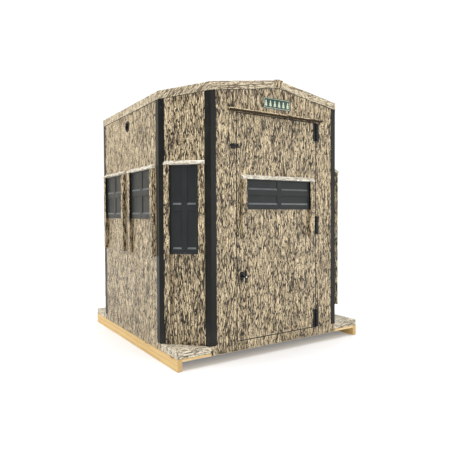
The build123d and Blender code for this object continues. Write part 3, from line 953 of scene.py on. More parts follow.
def slab(
    shape: Shape, x: np.ndarray, z: np.ndarray, height: np.ndarray, back: float, face: Face
) -> None:
    """Closed slab whose front is a height field on a face and whose back is flat.

    Args:
        shape: what the surface is added to.
        x, z: grid lines to the right and up.
        height: how far out the front stands at each line crossing, z by x.
        back: how far out the flat back stands.
        face: the shell's face it stands on.
    """
    rows, columns = len(z), len(x)
    gx, gz = np.meshgrid(x, z)
    front = face.at(gx, height, gz).reshape(-1, 3)
    rim = np.concatenate(
        [
            np.arange(columns),
            np.arange(1, rows) * columns + columns - 1,
            (rows - 1) * columns + np.arange(columns - 2, -1, -1),
            np.arange(rows - 2, 0, -1) * columns,
        ]
    )
    behind = face.at(gx.ravel()[rim], back, gz.ravel()[rim])
    offset = rows * columns
    ring = np.arange(len(rim))
    after = np.roll(ring, -1)
    sides = np.stack([rim[ring], rim[after], offset + after, offset + ring], 1)
    quads = grid_faces(rows, columns, False)
    side_film = np.zeros((len(sides), 4, 2))
    points = np.concatenate([front, behind])
    faces = [quads, sides, (offset + ring)[None, ::-1]]
    shape.add(points, faces, [grid_film(gx, gz), side_film, np.zeros((1, len(rim), 2))])


def upright(x: np.ndarray, y: np.ndarray, s: np.ndarray) -> np.ndarray:
    """Plan coordinates carried up Z."""
    return np.stack(np.broadcast_arrays(x, y, s), -1)


def along_x(y: np.ndarray, z: np.ndarray, s: np.ndarray) -> np.ndarray:
    """A section in Y and Z carried along X."""
    return np.stack(np.broadcast_arrays(s, y, z), -1)


def along_y(x: np.ndarray, z: np.ndarray, s: np.ndarray) -> np.ndarray:
    """A section in X and Z carried back along Y."""
    return np.stack(np.broadcast_arrays(x, s, z), -1)


def across(face: Face) -> Place:
    """A section of out and up, carried along a face to the right."""
    return lambda out, up, s: face.at(s, out, up)


def up_face(face: Face) -> Place:
    """A section of right and out, carried up a face."""
    return lambda right, out, s: face.at(right, out, s)


def off_face(face: Face, along: float = 0.0, level: float = 0.0) -> Place:
    """A section of right and up about a spot on a face, carried outwards."""
    return lambda right, up, s: face.at(right + along, s, up + level)


def box_corners(x0: float, x1: float, y0: float, y1: float) -> list[tuple[float, float]]:
    """Corners of a rectangle, counterclockwise."""
    return [(x0, y0), (x1, y0), (x1, y1), (x0, y1)]


def about(x: float, y: float) -> Place:
    """Plan coordinates about an upright axis at x and y."""
    return lambda a, b, s: upright(a + x, b + y, s)


def smooth(share: np.ndarray) -> np.ndarray:
    """Smooth step of a share, held between 0 and 1."""
    t = np.clip(share, 0, 1)
    return t * t * (3 - 2 * t)


def pressed(
    shape: Shape,
    box: Sequence[Vector],
    radius: float,
    start: float,
    end: float,
    ease: float = 0.6 * MM,
    steps: int = 3,
    arc: int = 4,
) -> None:
    """A plate on the front face with the outline of a node's box.

    Args:
        shape: what it is added to.
        box: the node's lowest and highest corners.
        radius: radius of its corners.
        start, end: how far out of the face its back and front stand.
        ease: radius of its front and back edges.
        steps: straight parts in that radius.
        arc: straight parts in each corner.
    """
    low, high = box
    section = Outline.rounded(box_corners(low.x, high.x, low.z, high.z), radius, arc)
    prism(shape, section, off_face(SHELL.face(FRONT)), start, end, ease, steps)


def screw(shape: Shape, head: tuple[float, float], foot: float, place: Place) -> None:
    """A pan head: steep sides that roll over to a nearly flat top with a small dimple.

    Args:
        shape: what it is added to.
        head: its radius and how far it rises.
        foot: how far out it starts.
        place: turns two plan coordinates and a height into points.
    """
    radius, rise = head
    shares = [(1.0, 0.0), (1.0, 0.35), (0.82, 0.8), (0.45, 1.0), (0.16, 0.72)]
    turned(shape, [(radius * r, foot + rise * h) for r, h in shares], place, SCREW_POINTS)


def hoop(shape: Shape, outline: Outline, place: Place, count: int) -> None:
    """Turns a closed outline of (radius, height) into a closed ring.

    Args:
        shape: what it is added to.
        outline: the section.
        place: turns two plan coordinates and a height into points.
        count: points round the ring.
    """
    t = np.linspace(0, 2 * np.pi, count, endpoint=False)
    r, h = outline.points[:, :1], outline.points[:, 1:]
    rows = len(r)
    points = place(r * np.cos(t), r * np.sin(t), np.broadcast_to(h, (rows, count)))
    faces = grid_faces(rows + 1, count, True) % (rows * count)
    u = np.broadcast_to(outline.lengths()[:, None], (rows + 1, count + 1))
    v = np.broadcast_to(np.linspace(0, 2 * np.pi, count + 1) * float(r.max()), u.shape)
    shape.add(points, [faces], [grid_film(u, v)])


# ---------------------------------------------------------------- what every assembly does


@dataclass
class Assembly:
    """A group of pieces that are made together."""

    def settle(self, piece: bpy.types.Object, body: str, slot: str, *nodes: str) -> None:
        """Puts a piece on its body, hides the nodes it stands for, and reports it.

        Args:
            piece: the finished object.
            body: the body it rides on.
            slot: the material slot's name; not used.
            *nodes: the CAD nodes it replaces.
        """
        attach(piece, body)
        if nodes:
            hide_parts(*nodes)
        LOG.info("%s rides on %s, %d faces", piece.name, body, len(piece.data.polygons))

    def dress(self, node: str, material: bpy.types.Material) -> None:
        """Gives a CAD node a finish, leaving its mesh alone.

        Args:
            node: the node's name.
            material: its finish.
        """
        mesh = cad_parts[node].data
        mesh.materials.clear()
        mesh.materials.append(material)


# ---------------------------------------------------------------- base


@dataclass
class SkidBase(Assembly):
    """Timber skids in butted lengths, slats under the deck, and the film-wrapped deck panel."""

    seams: tuple[float, float] = (-175 * MM, 77 * MM)
    seam_gap: float = 1.6 * MM
    eased: float = 3.5 * MM
    end_ease: float = 0.8 * MM
    slat_width: float = 89 * MM
    slat_eased: float = 1.5 * MM
    deck_corner: float = 6 * MM
    deck_roll: float = 5 * MM
    slat_pine: PineBoard = PineBoard("slat_pine", along=0, pale=(0.78, 0.58, 0.3))
    # Painted light: a lighter, flatter copy of the wall film for the deck's top, where top light and
    # sheen fall.
    lit_deck_film: BarkFilm = BarkFilm(
        "lit_deck_film",
        Grain.FILM,
        Backing.WALL,
        lining_and_shade_below=True,
        cream=(0.9, 0.82, 0.64),
        tan=(0.66, 0.56, 0.4),
        dark=(0.11, 0.08, 0.05),
        fissure=0.13,
        lift=1.7,
    )

    def skid(self, side: str) -> None:
        """One skid: boards butted end to end, each an eased rectangle carried along Y.

        Args:
            side: left or right.
        """
        low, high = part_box(f"skid_{side}")
        shape = Shape()
        cuts = [low.y, *self.seams, high.y]
        section = Outline.rounded(box_corners(low.x, high.x, low.z, high.z), self.eased)
        for number, (start, end) in enumerate(zip(cuts[:-1], cuts[1:])):
            start += self.seam_gap / 2 if number else 0.0
            end -= self.seam_gap / 2 if end != high.y else 0.0
            prism(shape, section, along_y, start, end, self.end_ease)
        boards = shape.piece(f"skid_boards_{side}", PINE, FOLDS)
        self.settle(boards, "shell", "pine", f"skid_{side}")

    def slats(self) -> None:
        """Three flat slats between the skids, front, middle and rear."""
        low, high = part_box("cross_slats")
        shape = Shape()
        for y in (low.y, -self.slat_width / 2, high.y - self.slat_width):
            corners = box_corners(y, y + self.slat_width, low.z, high.z)
            prism(shape, Outline.rounded(corners, self.slat_eased), along_x, low.x, high.x)
        slats = shape.piece("deck_slats", self.slat_pine.make(), FOLDS)
        self.settle(slats, "shell", "pine", "cross_slats")

    def deck(self) -> None:
        """The deck panel, with the film rolled over its top edge and folded down its sides."""
        low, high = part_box("platform_panel")
        shape = Shape()
        section = Outline.rounded(box_corners(low.x, high.x, low.y, high.y), self.deck_corner)
        prism(shape, section, upright, low.z, high.z, self.deck_roll, 4, folded=True)
        panel = shape.piece("deck_panel", self.lit_deck_film.make(), FOLDS)
        self.settle(panel, "shell", "camo_skin", "platform_panel")

    def build(self) -> None:
        """Builds every piece of the base."""
        self.skid("left")
        self.skid("right")
        self.slats()
        self.deck()


# ---------------------------------------------------------------- shell


@dataclass
class ShellSkin(Assembly):
    """Walls and corner panels, the folded trims over their joints, and the screws in the trims."""

    flange: float = 45 * MM
    sheet: float = 3 * MM
    bend: float = 4.5 * MM
    inner_bend: float = 1 * MM
    lip: float = 1.2 * MM
    hem: float = 0.5 * MM
    screw_rows: int = 5
    screw_margin: float = 60 * MM
    head: tuple[float, float] = (4.5 * MM, 2.2 * MM)

    def walls(self) -> None:
        """Dresses the panels, which keep their own shapes, each with the same film."""
        film = BarkFilm("wall_film", Grain.UPRIGHT, Backing.WALL).make()
        panels = ("wall_front", "wall_left", "wall_right", "wall_rear", "corner_panel")
        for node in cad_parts:
            if node.startswith(panels):
                self.dress(node, film)
        self.dress("inner_corner_angles", TRIM)

    def strip(self, corner: int) -> Outline:
        """Section of the strip folded round one corner of the plan.

        The sheet's outer line is offset by n0 and n1 from the two faces, and meets at the bisector
        (n0 + n1) / (1 + n0 . n1) times the sheet's thickness.

        Args:
            corner: the corner's number.

        Returns:
            The section, rounded at its bend and its free edges.
        """
        plan = SHELL.corners()
        mid, before, after = plan[corner], plan[corner - 1], plan[(corner + 1) % SIDES]
        d0 = (before - mid) / np.linalg.norm(before - mid)
        d1 = (after - mid) / np.linalg.norm(after - mid)
        n0, n1 = np.array([-d0[1], d0[0]]), np.array([d1[1], -d1[0]])
        outer = mid + (n0 + n1) / (1 + n0 @ n1) * self.sheet
        first, last = mid + d0 * self.flange, mid + d1 * self.flange
        points = [first + n0 * self.sheet, outer, last + n1 * self.sheet, last, mid, first]
        radii = [self.lip, self.bend, self.lip, self.hem, self.inner_bend, self.hem]
        return Outline.rounded(points, radii, 4)

    def trims(self) -> None:
        """Two folded strips for each corner panel, cut off along the roof's slope."""
        foot = float(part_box("platform_panel")[1].z)
        for side, name in CORNERS.items():
            shape = Shape()
            for corner in (side, (side + 1) % SIDES):
                section = self.strip(corner)
                top = RIDGE - SLOPE * np.abs(section.points[:, 0])
                prism(shape, section, upright, foot, top, self.hem)
            strips = shape.piece(f"folded_trims_{name}", TRIM, FOLDS)
            self.settle(strips, "shell", "black_trim", f"corner_trims_{name}")

    def screws(self) -> None:
        """Pan heads up both edges of every face."""
        foot = float(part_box("platform_panel")[1].z) + self.screw_margin
        levels = np.linspace(foot, EAVE - self.screw_margin, self.screw_rows)
        shape = Shape()
        for side in range(SIDES):
            half = SHELL.half(side) - self.flange / 2
            for along in (-half, half):
                for level in levels:
                    screw(shape, self.head, self.sheet, off_face(SHELL.face(side), along, level))
        heads = shape.piece("trim_pan_heads", SCREW, HEADS)
        self.settle(heads, "shell", "hinge_black", "trim_screws")

    def build(self) -> None:
        """Builds the shell's dress."""
        self.walls()
        self.trims()
        self.screws()


# ---------------------------------------------------------------- roof


@dataclass
class Roof(Assembly):
    """Two film-wrapped roof panels, the cap over the ridge with its end tabs, the ridge beam."""

    overhang: float = 5 * MM
    roll: float = 6 * MM
    thickness: float = 65 * MM
    cap_half: float = 42.5 * MM
    cap_sheet: float = 4 * MM
    cap_hem: float = 0.6 * MM
    cap_edge: float = 1.5 * MM
    cap_bend: float = 3 * MM
    cap_inset: float = 1 * MM
    tab_drop: float = 60 * MM
    tab_ease: float = 1.2 * MM
    cap_screws: int = 9
    cap_screw_row: float = 30 * MM
    cap_screw_margin: float = 60 * MM
    cap_screw_sink: float = 0.4 * MM
    cap_head: tuple[float, float] = (4 * MM, 1.8 * MM)
    edge_screw_margin: float = 30 * MM
    edge_screw_rise: float = 18 * MM
    edge_head: tuple[float, float] = (3.5 * MM, 1.5 * MM)
    # Painted light: a lighter, lower-contrast copy of the wall film for the roof, where light falls
    # on top.
    film: BarkFilm = BarkFilm(
        "lit_roof_film",
        Grain.FILM,
        lining_and_shade_below=True,
        cream=(0.78, 0.68, 0.48),
        dark=(0.13, 0.095, 0.06),
        fissure=0.17,
        lift=1.25,
    )

    @property
    def drop(self) -> float:
        """Upright thickness of a sloping panel."""
        return self.thickness * math.hypot(1.0, SLOPE)

    @property
    def rise(self) -> float:
        """Upright thickness of the sloping cap."""
        return self.cap_sheet * math.hypot(1.0, SLOPE)

    def panels(self) -> None:
        """Each panel's outline is half of the octagon; its top and underside follow the slope."""
        mitre = math.tan(math.pi / SIDES)
        x, y = SHELL.half_x + self.overhang, SHELL.half_y + self.overhang
        fx, fy = SHELL.flat_x + self.overhang * mitre, SHELL.flat_y + self.overhang * mitre
        material = self.film.make()
        for hand, name in ((-1, "left"), (1, "right")):
            plan = [(0, -y), (fx, -y), (x, -fy), (x, fy), (fx, y), (0, y)]
            section = Outline.rounded([(hand * px, hand * py) for px, py in plan], self.roll)
            under = RIDGE - SLOPE * np.abs(section.points[:, 0])
            shape = Shape()
            prism(shape, section, upright, under, under + self.drop, self.roll, 4, folded=True)
            wrap = shape.piece(f"roof_wrap_{name}", material, FOLDS)
            self.settle(wrap, "shell", "camo_skin", f"roof_panel_{name}")

    def cap(self, front: float, back: float) -> None:
        """A shallow folded strip along the ridge, with a tab hanging at each end.

        Args:
            front: Where the strip starts along Y.
            back: Where it ends along Y.
        """
        base, w = RIDGE + self.drop, self.cap_half
        side = base - w * SLOPE
        over = [(w, side + self.rise), (0, base + self.rise), (-w, side + self.rise)]
        radii = [self.cap_hem] * 3 + [self.cap_edge, self.cap_bend, self.cap_edge]
        shape = Shape()
        section = Outline.rounded([(-w, side), (0, base), (w, side), *over], radii)
        inset = self.cap_inset
        prism(shape, section, along_y, front + inset, back - inset, inset)
        foot = [(x, z - self.tab_drop) for x, z in ((-w, side), (0, base), (w, side))]
        section = Outline.rounded([*foot, *over], self.cap_edge)
        for start in (front, back - self.cap_sheet):
            prism(shape, section, along_y, start, start + self.cap_sheet, self.tab_ease)
        film = BarkFilm("cap_film", Grain.FILM).make()
        self.settle(shape.piece("ridge_cap_wrap", film, FOLDS), "shell", "camo_skin", "ridge_cap")

    def screws(self, front: float, back: float) -> None:
        """Pan heads along both sides of the cap, and near both ends of each edge of the roof.

        Args:
            front: Where the cap starts along Y.
            back: Where it ends along Y.
        """
        shape = Shape()
        top = RIDGE + self.drop + self.rise - self.cap_screw_row * SLOPE - self.cap_screw_sink
        for x in (-self.cap_screw_row, self.cap_screw_row):
            margin = self.cap_screw_margin
            for y in np.linspace(front + margin, back - margin, self.cap_screws):
                screw(shape, self.cap_head, top, about(x, y))
        for side in range(SIDES):
            face = SHELL.face(side)
            half = SHELL.half(side) - self.edge_screw_margin
            for along in (-half, half):
                across_plan = abs(float(face.at(along, 0.0, 0.0)[0]))
                place = off_face(face, along, RIDGE - SLOPE * across_plan + self.edge_screw_rise)
                screw(shape, self.edge_head, self.overhang, place)
        self.settle(shape.piece("roof_screws", SCREW, HEADS), "shell", "hinge_black")

    def build(self) -> None:
        """Builds the roof."""
        self.panels()
        low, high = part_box("ridge_cap")
        self.cap(low.y, high.y)
        self.screws(low.y, high.y)
        self.dress("ridge_beam", PINE)


# ---------------------------------------------------------------- door and its fittings


@dataclass
class DoorSet(Assembly):
    """Door leaf, its gasket, the guard above it and its three hinges."""

    bulb_width: float = 8 * MM
    bulb_eased: float = 1.2 * MM
    nose: tuple[float, float] = (5 * MM, 12 * MM)
    leaf_sheet: float = 3 * MM
    leaf_corner: float = 3 * MM
    leaf_reach: float = 32 * MM
    barrel: float = 6 * MM
    barrel_chamfer: float = 1 * MM
    hinge_height: float = 152 * MM
    gap: float = 0.6 * MM
    knuckles: int = 5
    middle_rise: float = 3.5 * MM
    bridge: tuple[float, float] = (2 * MM, 0.5 * MM)
    pin_dome: float = 1.4 * MM
    pin_head: float = 1.3
    pin_tip: float = 0.6
    head: tuple[float, float] = (4 * MM, 1.4 * MM)
    head_sink: float = 0.2 * MM

    def levels(self) -> list[float]:
        """Finds the hinges.

        Returns:
            Middle heights of the three hinges, from the lowest.
        """
        low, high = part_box("hinge_pins")
        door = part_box("door_leaf")
        middle = (door[0].z + door[1].z) / 2 + self.middle_rise
        return [low.z + self.hinge_height / 2, middle, high.z - self.hinge_height / 2]

    def leaf(self) -> None:
        """Dresses the door leaf with the film, dark edges and lining behind it, and a painted shade
        band round its face for the gap's shadow.
        """
        low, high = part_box("door_leaf")
        # rim places the painted shade band that stands in for the gap's shadow.
        rim = (float(high.x), float(low.z), float(high.z))
        self.dress("door_leaf", BarkFilm("door_film", Grain.UPRIGHT, Backing.DOOR, rim=rim).make())

    def gasket(self) -> None:
        """Rubber bulb strips up both sides of the stop and across its head."""
        low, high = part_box("door_seal")
        face = SHELL.face(FRONT)
        back, front = -SHELL.half_y - high.y, -SHELL.half_y - low.y
        width = self.bulb_width
        shape = Shape()
        for x0, x1 in ((low.x, low.x + width), (high.x - width, high.x)):
            section = Outline.rounded(box_corners(x0, x1, back, front), self.bulb_eased)
            prism(shape, section, up_face(face), low.z, high.z)
        section = Outline.rounded(box_corners(back, front, high.z - width, high.z), self.bulb_eased)
        prism(shape, section, across(face), low.x + width, high.x - width)
        self.settle(shape.piece("door_gasket", RUBBER, FOLDS), "shell", "seal_rubber", "door_seal")

    def guard(self) -> None:
        """The rain guard: a sloped strip with a rounded nose, its film painted lighter on top and
        dark brown underneath as painted shade.
        """
        low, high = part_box("rain_guard")
        reach = -SHELL.half_y - low.y
        near, far = self.nose
        corners = [(0, low.z), (reach, low.z + near), (reach, low.z + far), (0, high.z)]
        section = Outline.rounded(corners, [0.5 * MM, 2 * MM, 3 * MM, 0.5 * MM])
        shape = Shape()
        prism(shape, section, across(SHELL.face(FRONT)), low.x, high.x, 0.5 * MM)
        # Painted light and shade: a lighter copy of the wall film for the lit top, and brown felt on
        # down-facing faces as painted shade.
        film = BarkFilm(
            "lit_guard_film",
            Grain.FILM,
            lining_and_shade_below=True,
            liner_and_shade=(0.07, 0.045, 0.018),
            edge=(0.02, 0.013, 0.007),
            fissure=0.12,
            lift=1.5,
        )
        wrap = shape.piece("rain_guard_wrap", film.make(), FOLDS)
        self.settle(wrap, "shell", "camo_skin", "rain_guard")

    def hinge_side(
        self, hand: int, knuckles: Sequence[int], name: str, body: str, node: str
    ) -> None:
        """The leaves on one side of the pins and the barrels that they carry.

        Args:
            hand: 1 for the frame's side, -1 for the door's.
            knuckles: which barrels they carry, counted from the foot.
            name: the piece's name.
            body: the body it rides on.
            node: the node it replaces.
        """
        face = SHELL.face(FRONT)
        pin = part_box("hinge_pins")
        x, y = (pin[0].x + pin[1].x) / 2, (pin[0].y + pin[1].y) / 2
        pitch = self.hinge_height / self.knuckles
        near, r, chamfer = self.barrel + self.gap, self.barrel, self.barrel_chamfer
        start, lift = self.bridge
        shape = Shape()
        for level in self.levels():
            bottom = level - self.hinge_height / 2
            span = sorted((x + hand * near, x + hand * self.leaf_reach))
            corners = box_corners(*span, bottom, bottom + self.hinge_height)
            leaf = Outline.rounded(corners, self.leaf_corner)
            prism(shape, leaf, off_face(face), 0.0, self.leaf_sheet)
            for knuckle in knuckles:
                foot = bottom + knuckle * pitch + self.gap / 2
                head = foot + pitch - self.gap
                profile = [(r - chamfer, foot), (r, foot + chamfer)]
                profile += [(r, head - chamfer), (r - chamfer, head)]
                turned(shape, profile, about(x, y), ROUND_POINTS)
                span = sorted((x + hand * start, x + hand * (near + 1 * MM)))
                section = Outline.rounded(box_corners(*span, lift, self.leaf_sheet), 0.3 * MM, 2)
                prism(shape, section, up_face(face), foot, head)
        self.settle(shape.piece(name, HINGE, METAL), body, "hinge_black", node)

    def hinge_screws(self, name: str, body: str, node: str) -> None:
        """Four pan heads on each leaf.

        Args:
            name: the piece's name.
            body: the body it rides on.
            node: the node it replaces.
        """
        low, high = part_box(node)
        shape = Shape()
        for level in self.levels():
            for row in (-1.5, -0.5, 0.5, 1.5):
                height = level + row * self.hinge_height / 4
                place = off_face(SHELL.face(FRONT), (low.x + high.x) / 2, height)
                screw(shape, self.head, self.leaf_sheet - self.head_sink, place)
        self.settle(shape.piece(name, SCREW, HEADS), body, "hinge_black", node)

    def pins(self) -> None:
        """Pins with domed ends, seen between the knuckles and at the top and bottom."""
        low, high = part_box("hinge_pins")
        x, y, r = (low.x + high.x) / 2, (low.y + high.y) / 2, (high.x - low.x) / 2
        wide, tip, dome = r * self.pin_head, r * self.pin_tip, self.pin_dome
        shape = Shape()
        for level in self.levels():
            bottom, top = level - self.hinge_height / 2, level + self.hinge_height / 2
            profile = [(tip, bottom - dome), (wide, bottom - dome / 2), (wide, bottom), (r, bottom)]
            profile += [(r, top), (wide, top), (wide, top + dome / 2), (tip, top + dome)]
            turned(shape, profile, about(x, y))
        self.settle(shape.piece("hinge_pin_rods", ZINC, METAL), "shell", "zinc_pin", "hinge_pins")

    def build(self) -> None:
        """Builds the door's dress and fittings."""
        self.leaf()
        self.gasket()
        self.guard()
        self.hinge_side(1, (0, 2, 4), "hinge_leaves_frame", "shell", "hinge_frame_leaves")
        self.hinge_side(-1, (1, 3), "hinge_leaves_door", "door", "hinge_door_leaves")
        self.hinge_screws("hinge_screws_on_frame", "shell", "hinge_frame_screws")
        self.hinge_screws("hinge_screws_on_door", "door", "hinge_door_screws")
        self.pins()


@dataclass
class TurnLatch(Assembly):
    """Turn bar on a stud and plate beside the door, and the strike on the door."""

    plate: float = 3 * MM
    plate_ease: float = 0.8 * MM
    plate_corner: float = 4 * MM
    strike_corner: float = 3 * MM
    play: float = 0.5 * MM
    bar: float = 4 * MM
    bar_height: float = 14 * MM
    stud: float = 4 * MM
    stud_head: tuple[float, float] = (3 * MM, 1.2 * MM)
    plate_head: tuple[float, float] = (3.2 * MM, 1.4 * MM)
    strike_head: tuple[float, float] = (3 * MM, 1.3 * MM)

    def build(self) -> None:
        """Builds the plate with its stud and screws, the bar, and the strike."""
        face = SHELL.face(FRONT)
        low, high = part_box("latch_plate")
        bar_low, bar_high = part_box("latch_bar")
        level = (bar_low.z + bar_high.z) / 2
        shape = Shape()
        pressed(shape, (low, high), self.plate_corner, 0.0, self.plate, self.plate_ease)
        top = self.plate + 2 * self.play + self.bar
        r, (wider, rim) = self.stud, self.stud_head
        profile = [(r, 0.0), (r, top), (r + wider, top), (r + wider, top + rim), (r, top + 2 * MM)]
        axis = off_face(face, bar_high.x - self.bar_height / 2, level)
        turned(shape, profile, axis, ROUND_POINTS)
        for x in (low.x + 7 * MM, high.x - 7 * MM):
            screw(shape, self.plate_head, self.plate, off_face(face, x, low.z + 7 * MM))
        plate = shape.piece("latch_stud_plate", HINGE, METAL)
        self.settle(plate, "shell", "hinge_black", "latch_plate")

        shape = Shape()
        start, round_end = self.plate + self.play, self.bar_height / 2 - 0.2 * MM
        pressed(shape, (bar_low, bar_high), round_end, start, start + self.bar, 1 * MM, arc=8)
        bar = shape.piece("latch_turn_bar", HINGE, METAL)
        self.settle(bar, "turn_latch", "hinge_black", "latch_bar")

        low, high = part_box("latch_strike")
        shape = Shape()
        pressed(shape, (low, high), self.strike_corner, 0.0, self.plate, self.plate_ease)
        for z in (low.z + 6 * MM, high.z - 6 * MM):
            screw(shape, self.strike_head, self.plate, off_face(face, high.x - 8 * MM, z))
        plate = shape.piece("latch_strike_plate", HINGE, METAL)
        self.settle(plate, "door", "hinge_black", "latch_strike")


@dataclass
class HandleLock(Assembly):
    """T-handle with its escutcheon, key plug and cam."""

    grip_half: tuple[float, float] = (8.5 * MM, 7.5 * MM)
    grip_rows: int = 41
    grip_points: int = 24
    waist_share: float = 0.12
    stem: float = 8 * MM
    spindle: float = 5 * MM
    hub: float = 10 * MM
    slot_half: tuple[float, float] = (0.8 * MM, 4 * MM)
    rose_corner: float = 9 * MM
    rose_sheet: float = 4 * MM
    rose_head: tuple[float, float] = (3.2 * MM, 1.2 * MM)
    cam_corner: float = 9.8 * MM

    def grip(self, shape: Shape, place: tuple[float, float], half: float, reach: float) -> None:
        """The upright grip: squared ellipses that shrink at the tips and swell at the hub.

        At share t from -1 to 1 of the half height the section is scaled by (1 - |t|^7) ^ 0.5, drawn
        in by waist_share around |t| = 0.42, and swells to the hub's radius as exp(-(t / 0.17) ^ 2).

        Args:
            shape: what it is added to.
            place: its middle's x and level.
            half: half of its height.
            reach: how far out its middle line stands.
        """
        x, level = place
        t = np.sin(np.linspace(-np.pi / 2, np.pi / 2, self.grip_rows))
        tips = np.sqrt(np.maximum(1 - np.abs(t) ** 7, 0.012))
        waist = 1 - self.waist_share * np.exp(-(((np.abs(t) - 0.42) / 0.2) ** 2))
        swell = np.exp(-((t / 0.17) ** 2))
        a = self.grip_half[0] * tips * waist + (self.hub - self.grip_half[0]) * swell
        b = self.grip_half[1] * tips * waist
        ring = Outline.ellipse(1.0, 1.0, self.grip_points, 0.75).points
        right = x + ring[None, :, 0] * a[:, None]
        out = reach + ring[None, :, 1] * b[:, None]
        up = level + np.broadcast_to((t * half)[:, None], right.shape)
        rows, count = right.shape
        caps = np.stack([np.arange(count)[::-1], (rows - 1) * count + np.arange(count)])
        u = np.broadcast_to(np.linspace(0, 60 * MM, count + 1), (rows, count + 1))
        v = np.broadcast_to((t * half)[:, None], (rows, count + 1))
        points = SHELL.face(FRONT).at(right, out, up)
        film = [grid_film(u, v), np.zeros((2, count, 2))]
        shape.add(points, [grid_faces(rows, count, True), caps], film)

    def build(self) -> None:
        """Builds the lock from the outside in."""
        face = SHELL.face(FRONT)
        low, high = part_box("lock_handle")
        x = (low.x + high.x) / 2
        plug_low, plug_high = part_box("lock_plug")
        level = (plug_low.z + plug_high.z) / 2
        plug = (plug_high.x - plug_low.x) / 2
        front, back = -SHELL.half_y - low.y, -SHELL.half_y - high.y
        reach = front - self.grip_half[1]
        axis = off_face(face, x, level)

        shape = Shape()
        self.grip(shape, (x, level), (high.z - low.z) / 2, reach)
        neck = [(self.stem + 2 * MM, reach - 2 * MM), (self.stem, reach - 10 * MM)]
        neck += [(self.stem, 1 * MM), (self.spindle, 1 * MM), (self.spindle, back)]
        turned(shape, neck, axis, ROUND_POINTS)
        collar = [(plug + 0.1 * MM, front - 1.5 * MM), (plug + 2.2 * MM, front - 1.5 * MM)]
        collar += [(plug + 2.0 * MM, front - 0.3 * MM), (plug + 0.6 * MM, front)]
        turned(shape, collar, axis, ROUND_POINTS)
        grip = shape.piece("t_handle_grip", HINGE, CAST)
        self.settle(grip, "t_handle", "hinge_black", "lock_handle")

        shape = Shape()
        rim = [(plug, front - 20 * MM), (plug, front - 0.2 * MM)]
        rim += [(plug - 0.8 * MM, front + 0.5 * MM), (plug * 0.4, front + 0.2 * MM)]
        turned(shape, rim, axis, PLUG_POINTS)
        self.settle(shape.piece("key_plug_face", CHROME, METAL), "key_plug", "chrome", "lock_plug")

        # Painted shade: a black insert on the plug's face stands in for the dark keyway.
        shape = Shape()
        w, h = self.slot_half
        section = Outline.rounded(box_corners(x - w, x + w, level - h, level + h), 0.6 * MM, 3)
        prism(shape, section, off_face(face), front - 2 * MM, front + 0.55 * MM, 0.15 * MM)
        self.settle(shape.piece("keyway_shade", RUBBER, METAL), "key_plug", "seal_rubber")

        low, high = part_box("lock_escutcheon")
        shape = Shape()
        pressed(shape, (low, high), self.rose_corner, 0.0, self.rose_sheet, 2 * MM, 4, 6)
        for z in (low.z + 8 * MM, high.z - 8 * MM):
            screw(shape, self.rose_head, self.rose_sheet - 0.1 * MM, off_face(face, x, z))
        rose = shape.piece("lock_rose", HINGE, METAL)
        self.settle(rose, "door", "hinge_black", "lock_escutcheon")

        low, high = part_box("lock_cam")
        shape = Shape()
        start, end = -SHELL.half_y - high.y, -SHELL.half_y - low.y
        pressed(shape, (low, high), self.cam_corner, start, end, arc=8)
        self.settle(shape.piece("lock_cam_arm", ZINC, METAL), "t_handle", "zinc_pin", "lock_cam")


# ---------------------------------------------------------------- windows


@dataclass(frozen=True)
class Window:
    """One window: its own face centred on it, its width between the tracks, and its heights."""

    face: Face
    width: float
    sill: float
    head: float
    foot: float

    @classmethod
    def measure(cls, side: int, shutter: str, tracks: str) -> "Window":
        """Reads a window from its closed shutter's box and its tracks' lowest point.

        Args:
            side: the face's number.
            shutter: the shutter's node.
            tracks: the tracks' node.

        Returns:
            The window.
        """
        low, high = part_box(shutter)
        whole = SHELL.face(side)
        middle = whole.near((low + high) / 2)
        spread = abs(whole.right[0]) * (high.x - low.x) + abs(whole.right[1]) * (high.y - low.y)
        if side in CORNERS:
            spread = (high.x - low.x) * math.sqrt(2) - SHUTTER_SHEET
        width, head = spread - 2 * SHUTTER_IN_TRACK, float(high.z) + SHUTTER_TO_HOOD
        return cls(SHELL.face(side, middle), width, float(low.z), head, float(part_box(tracks)[0].z))


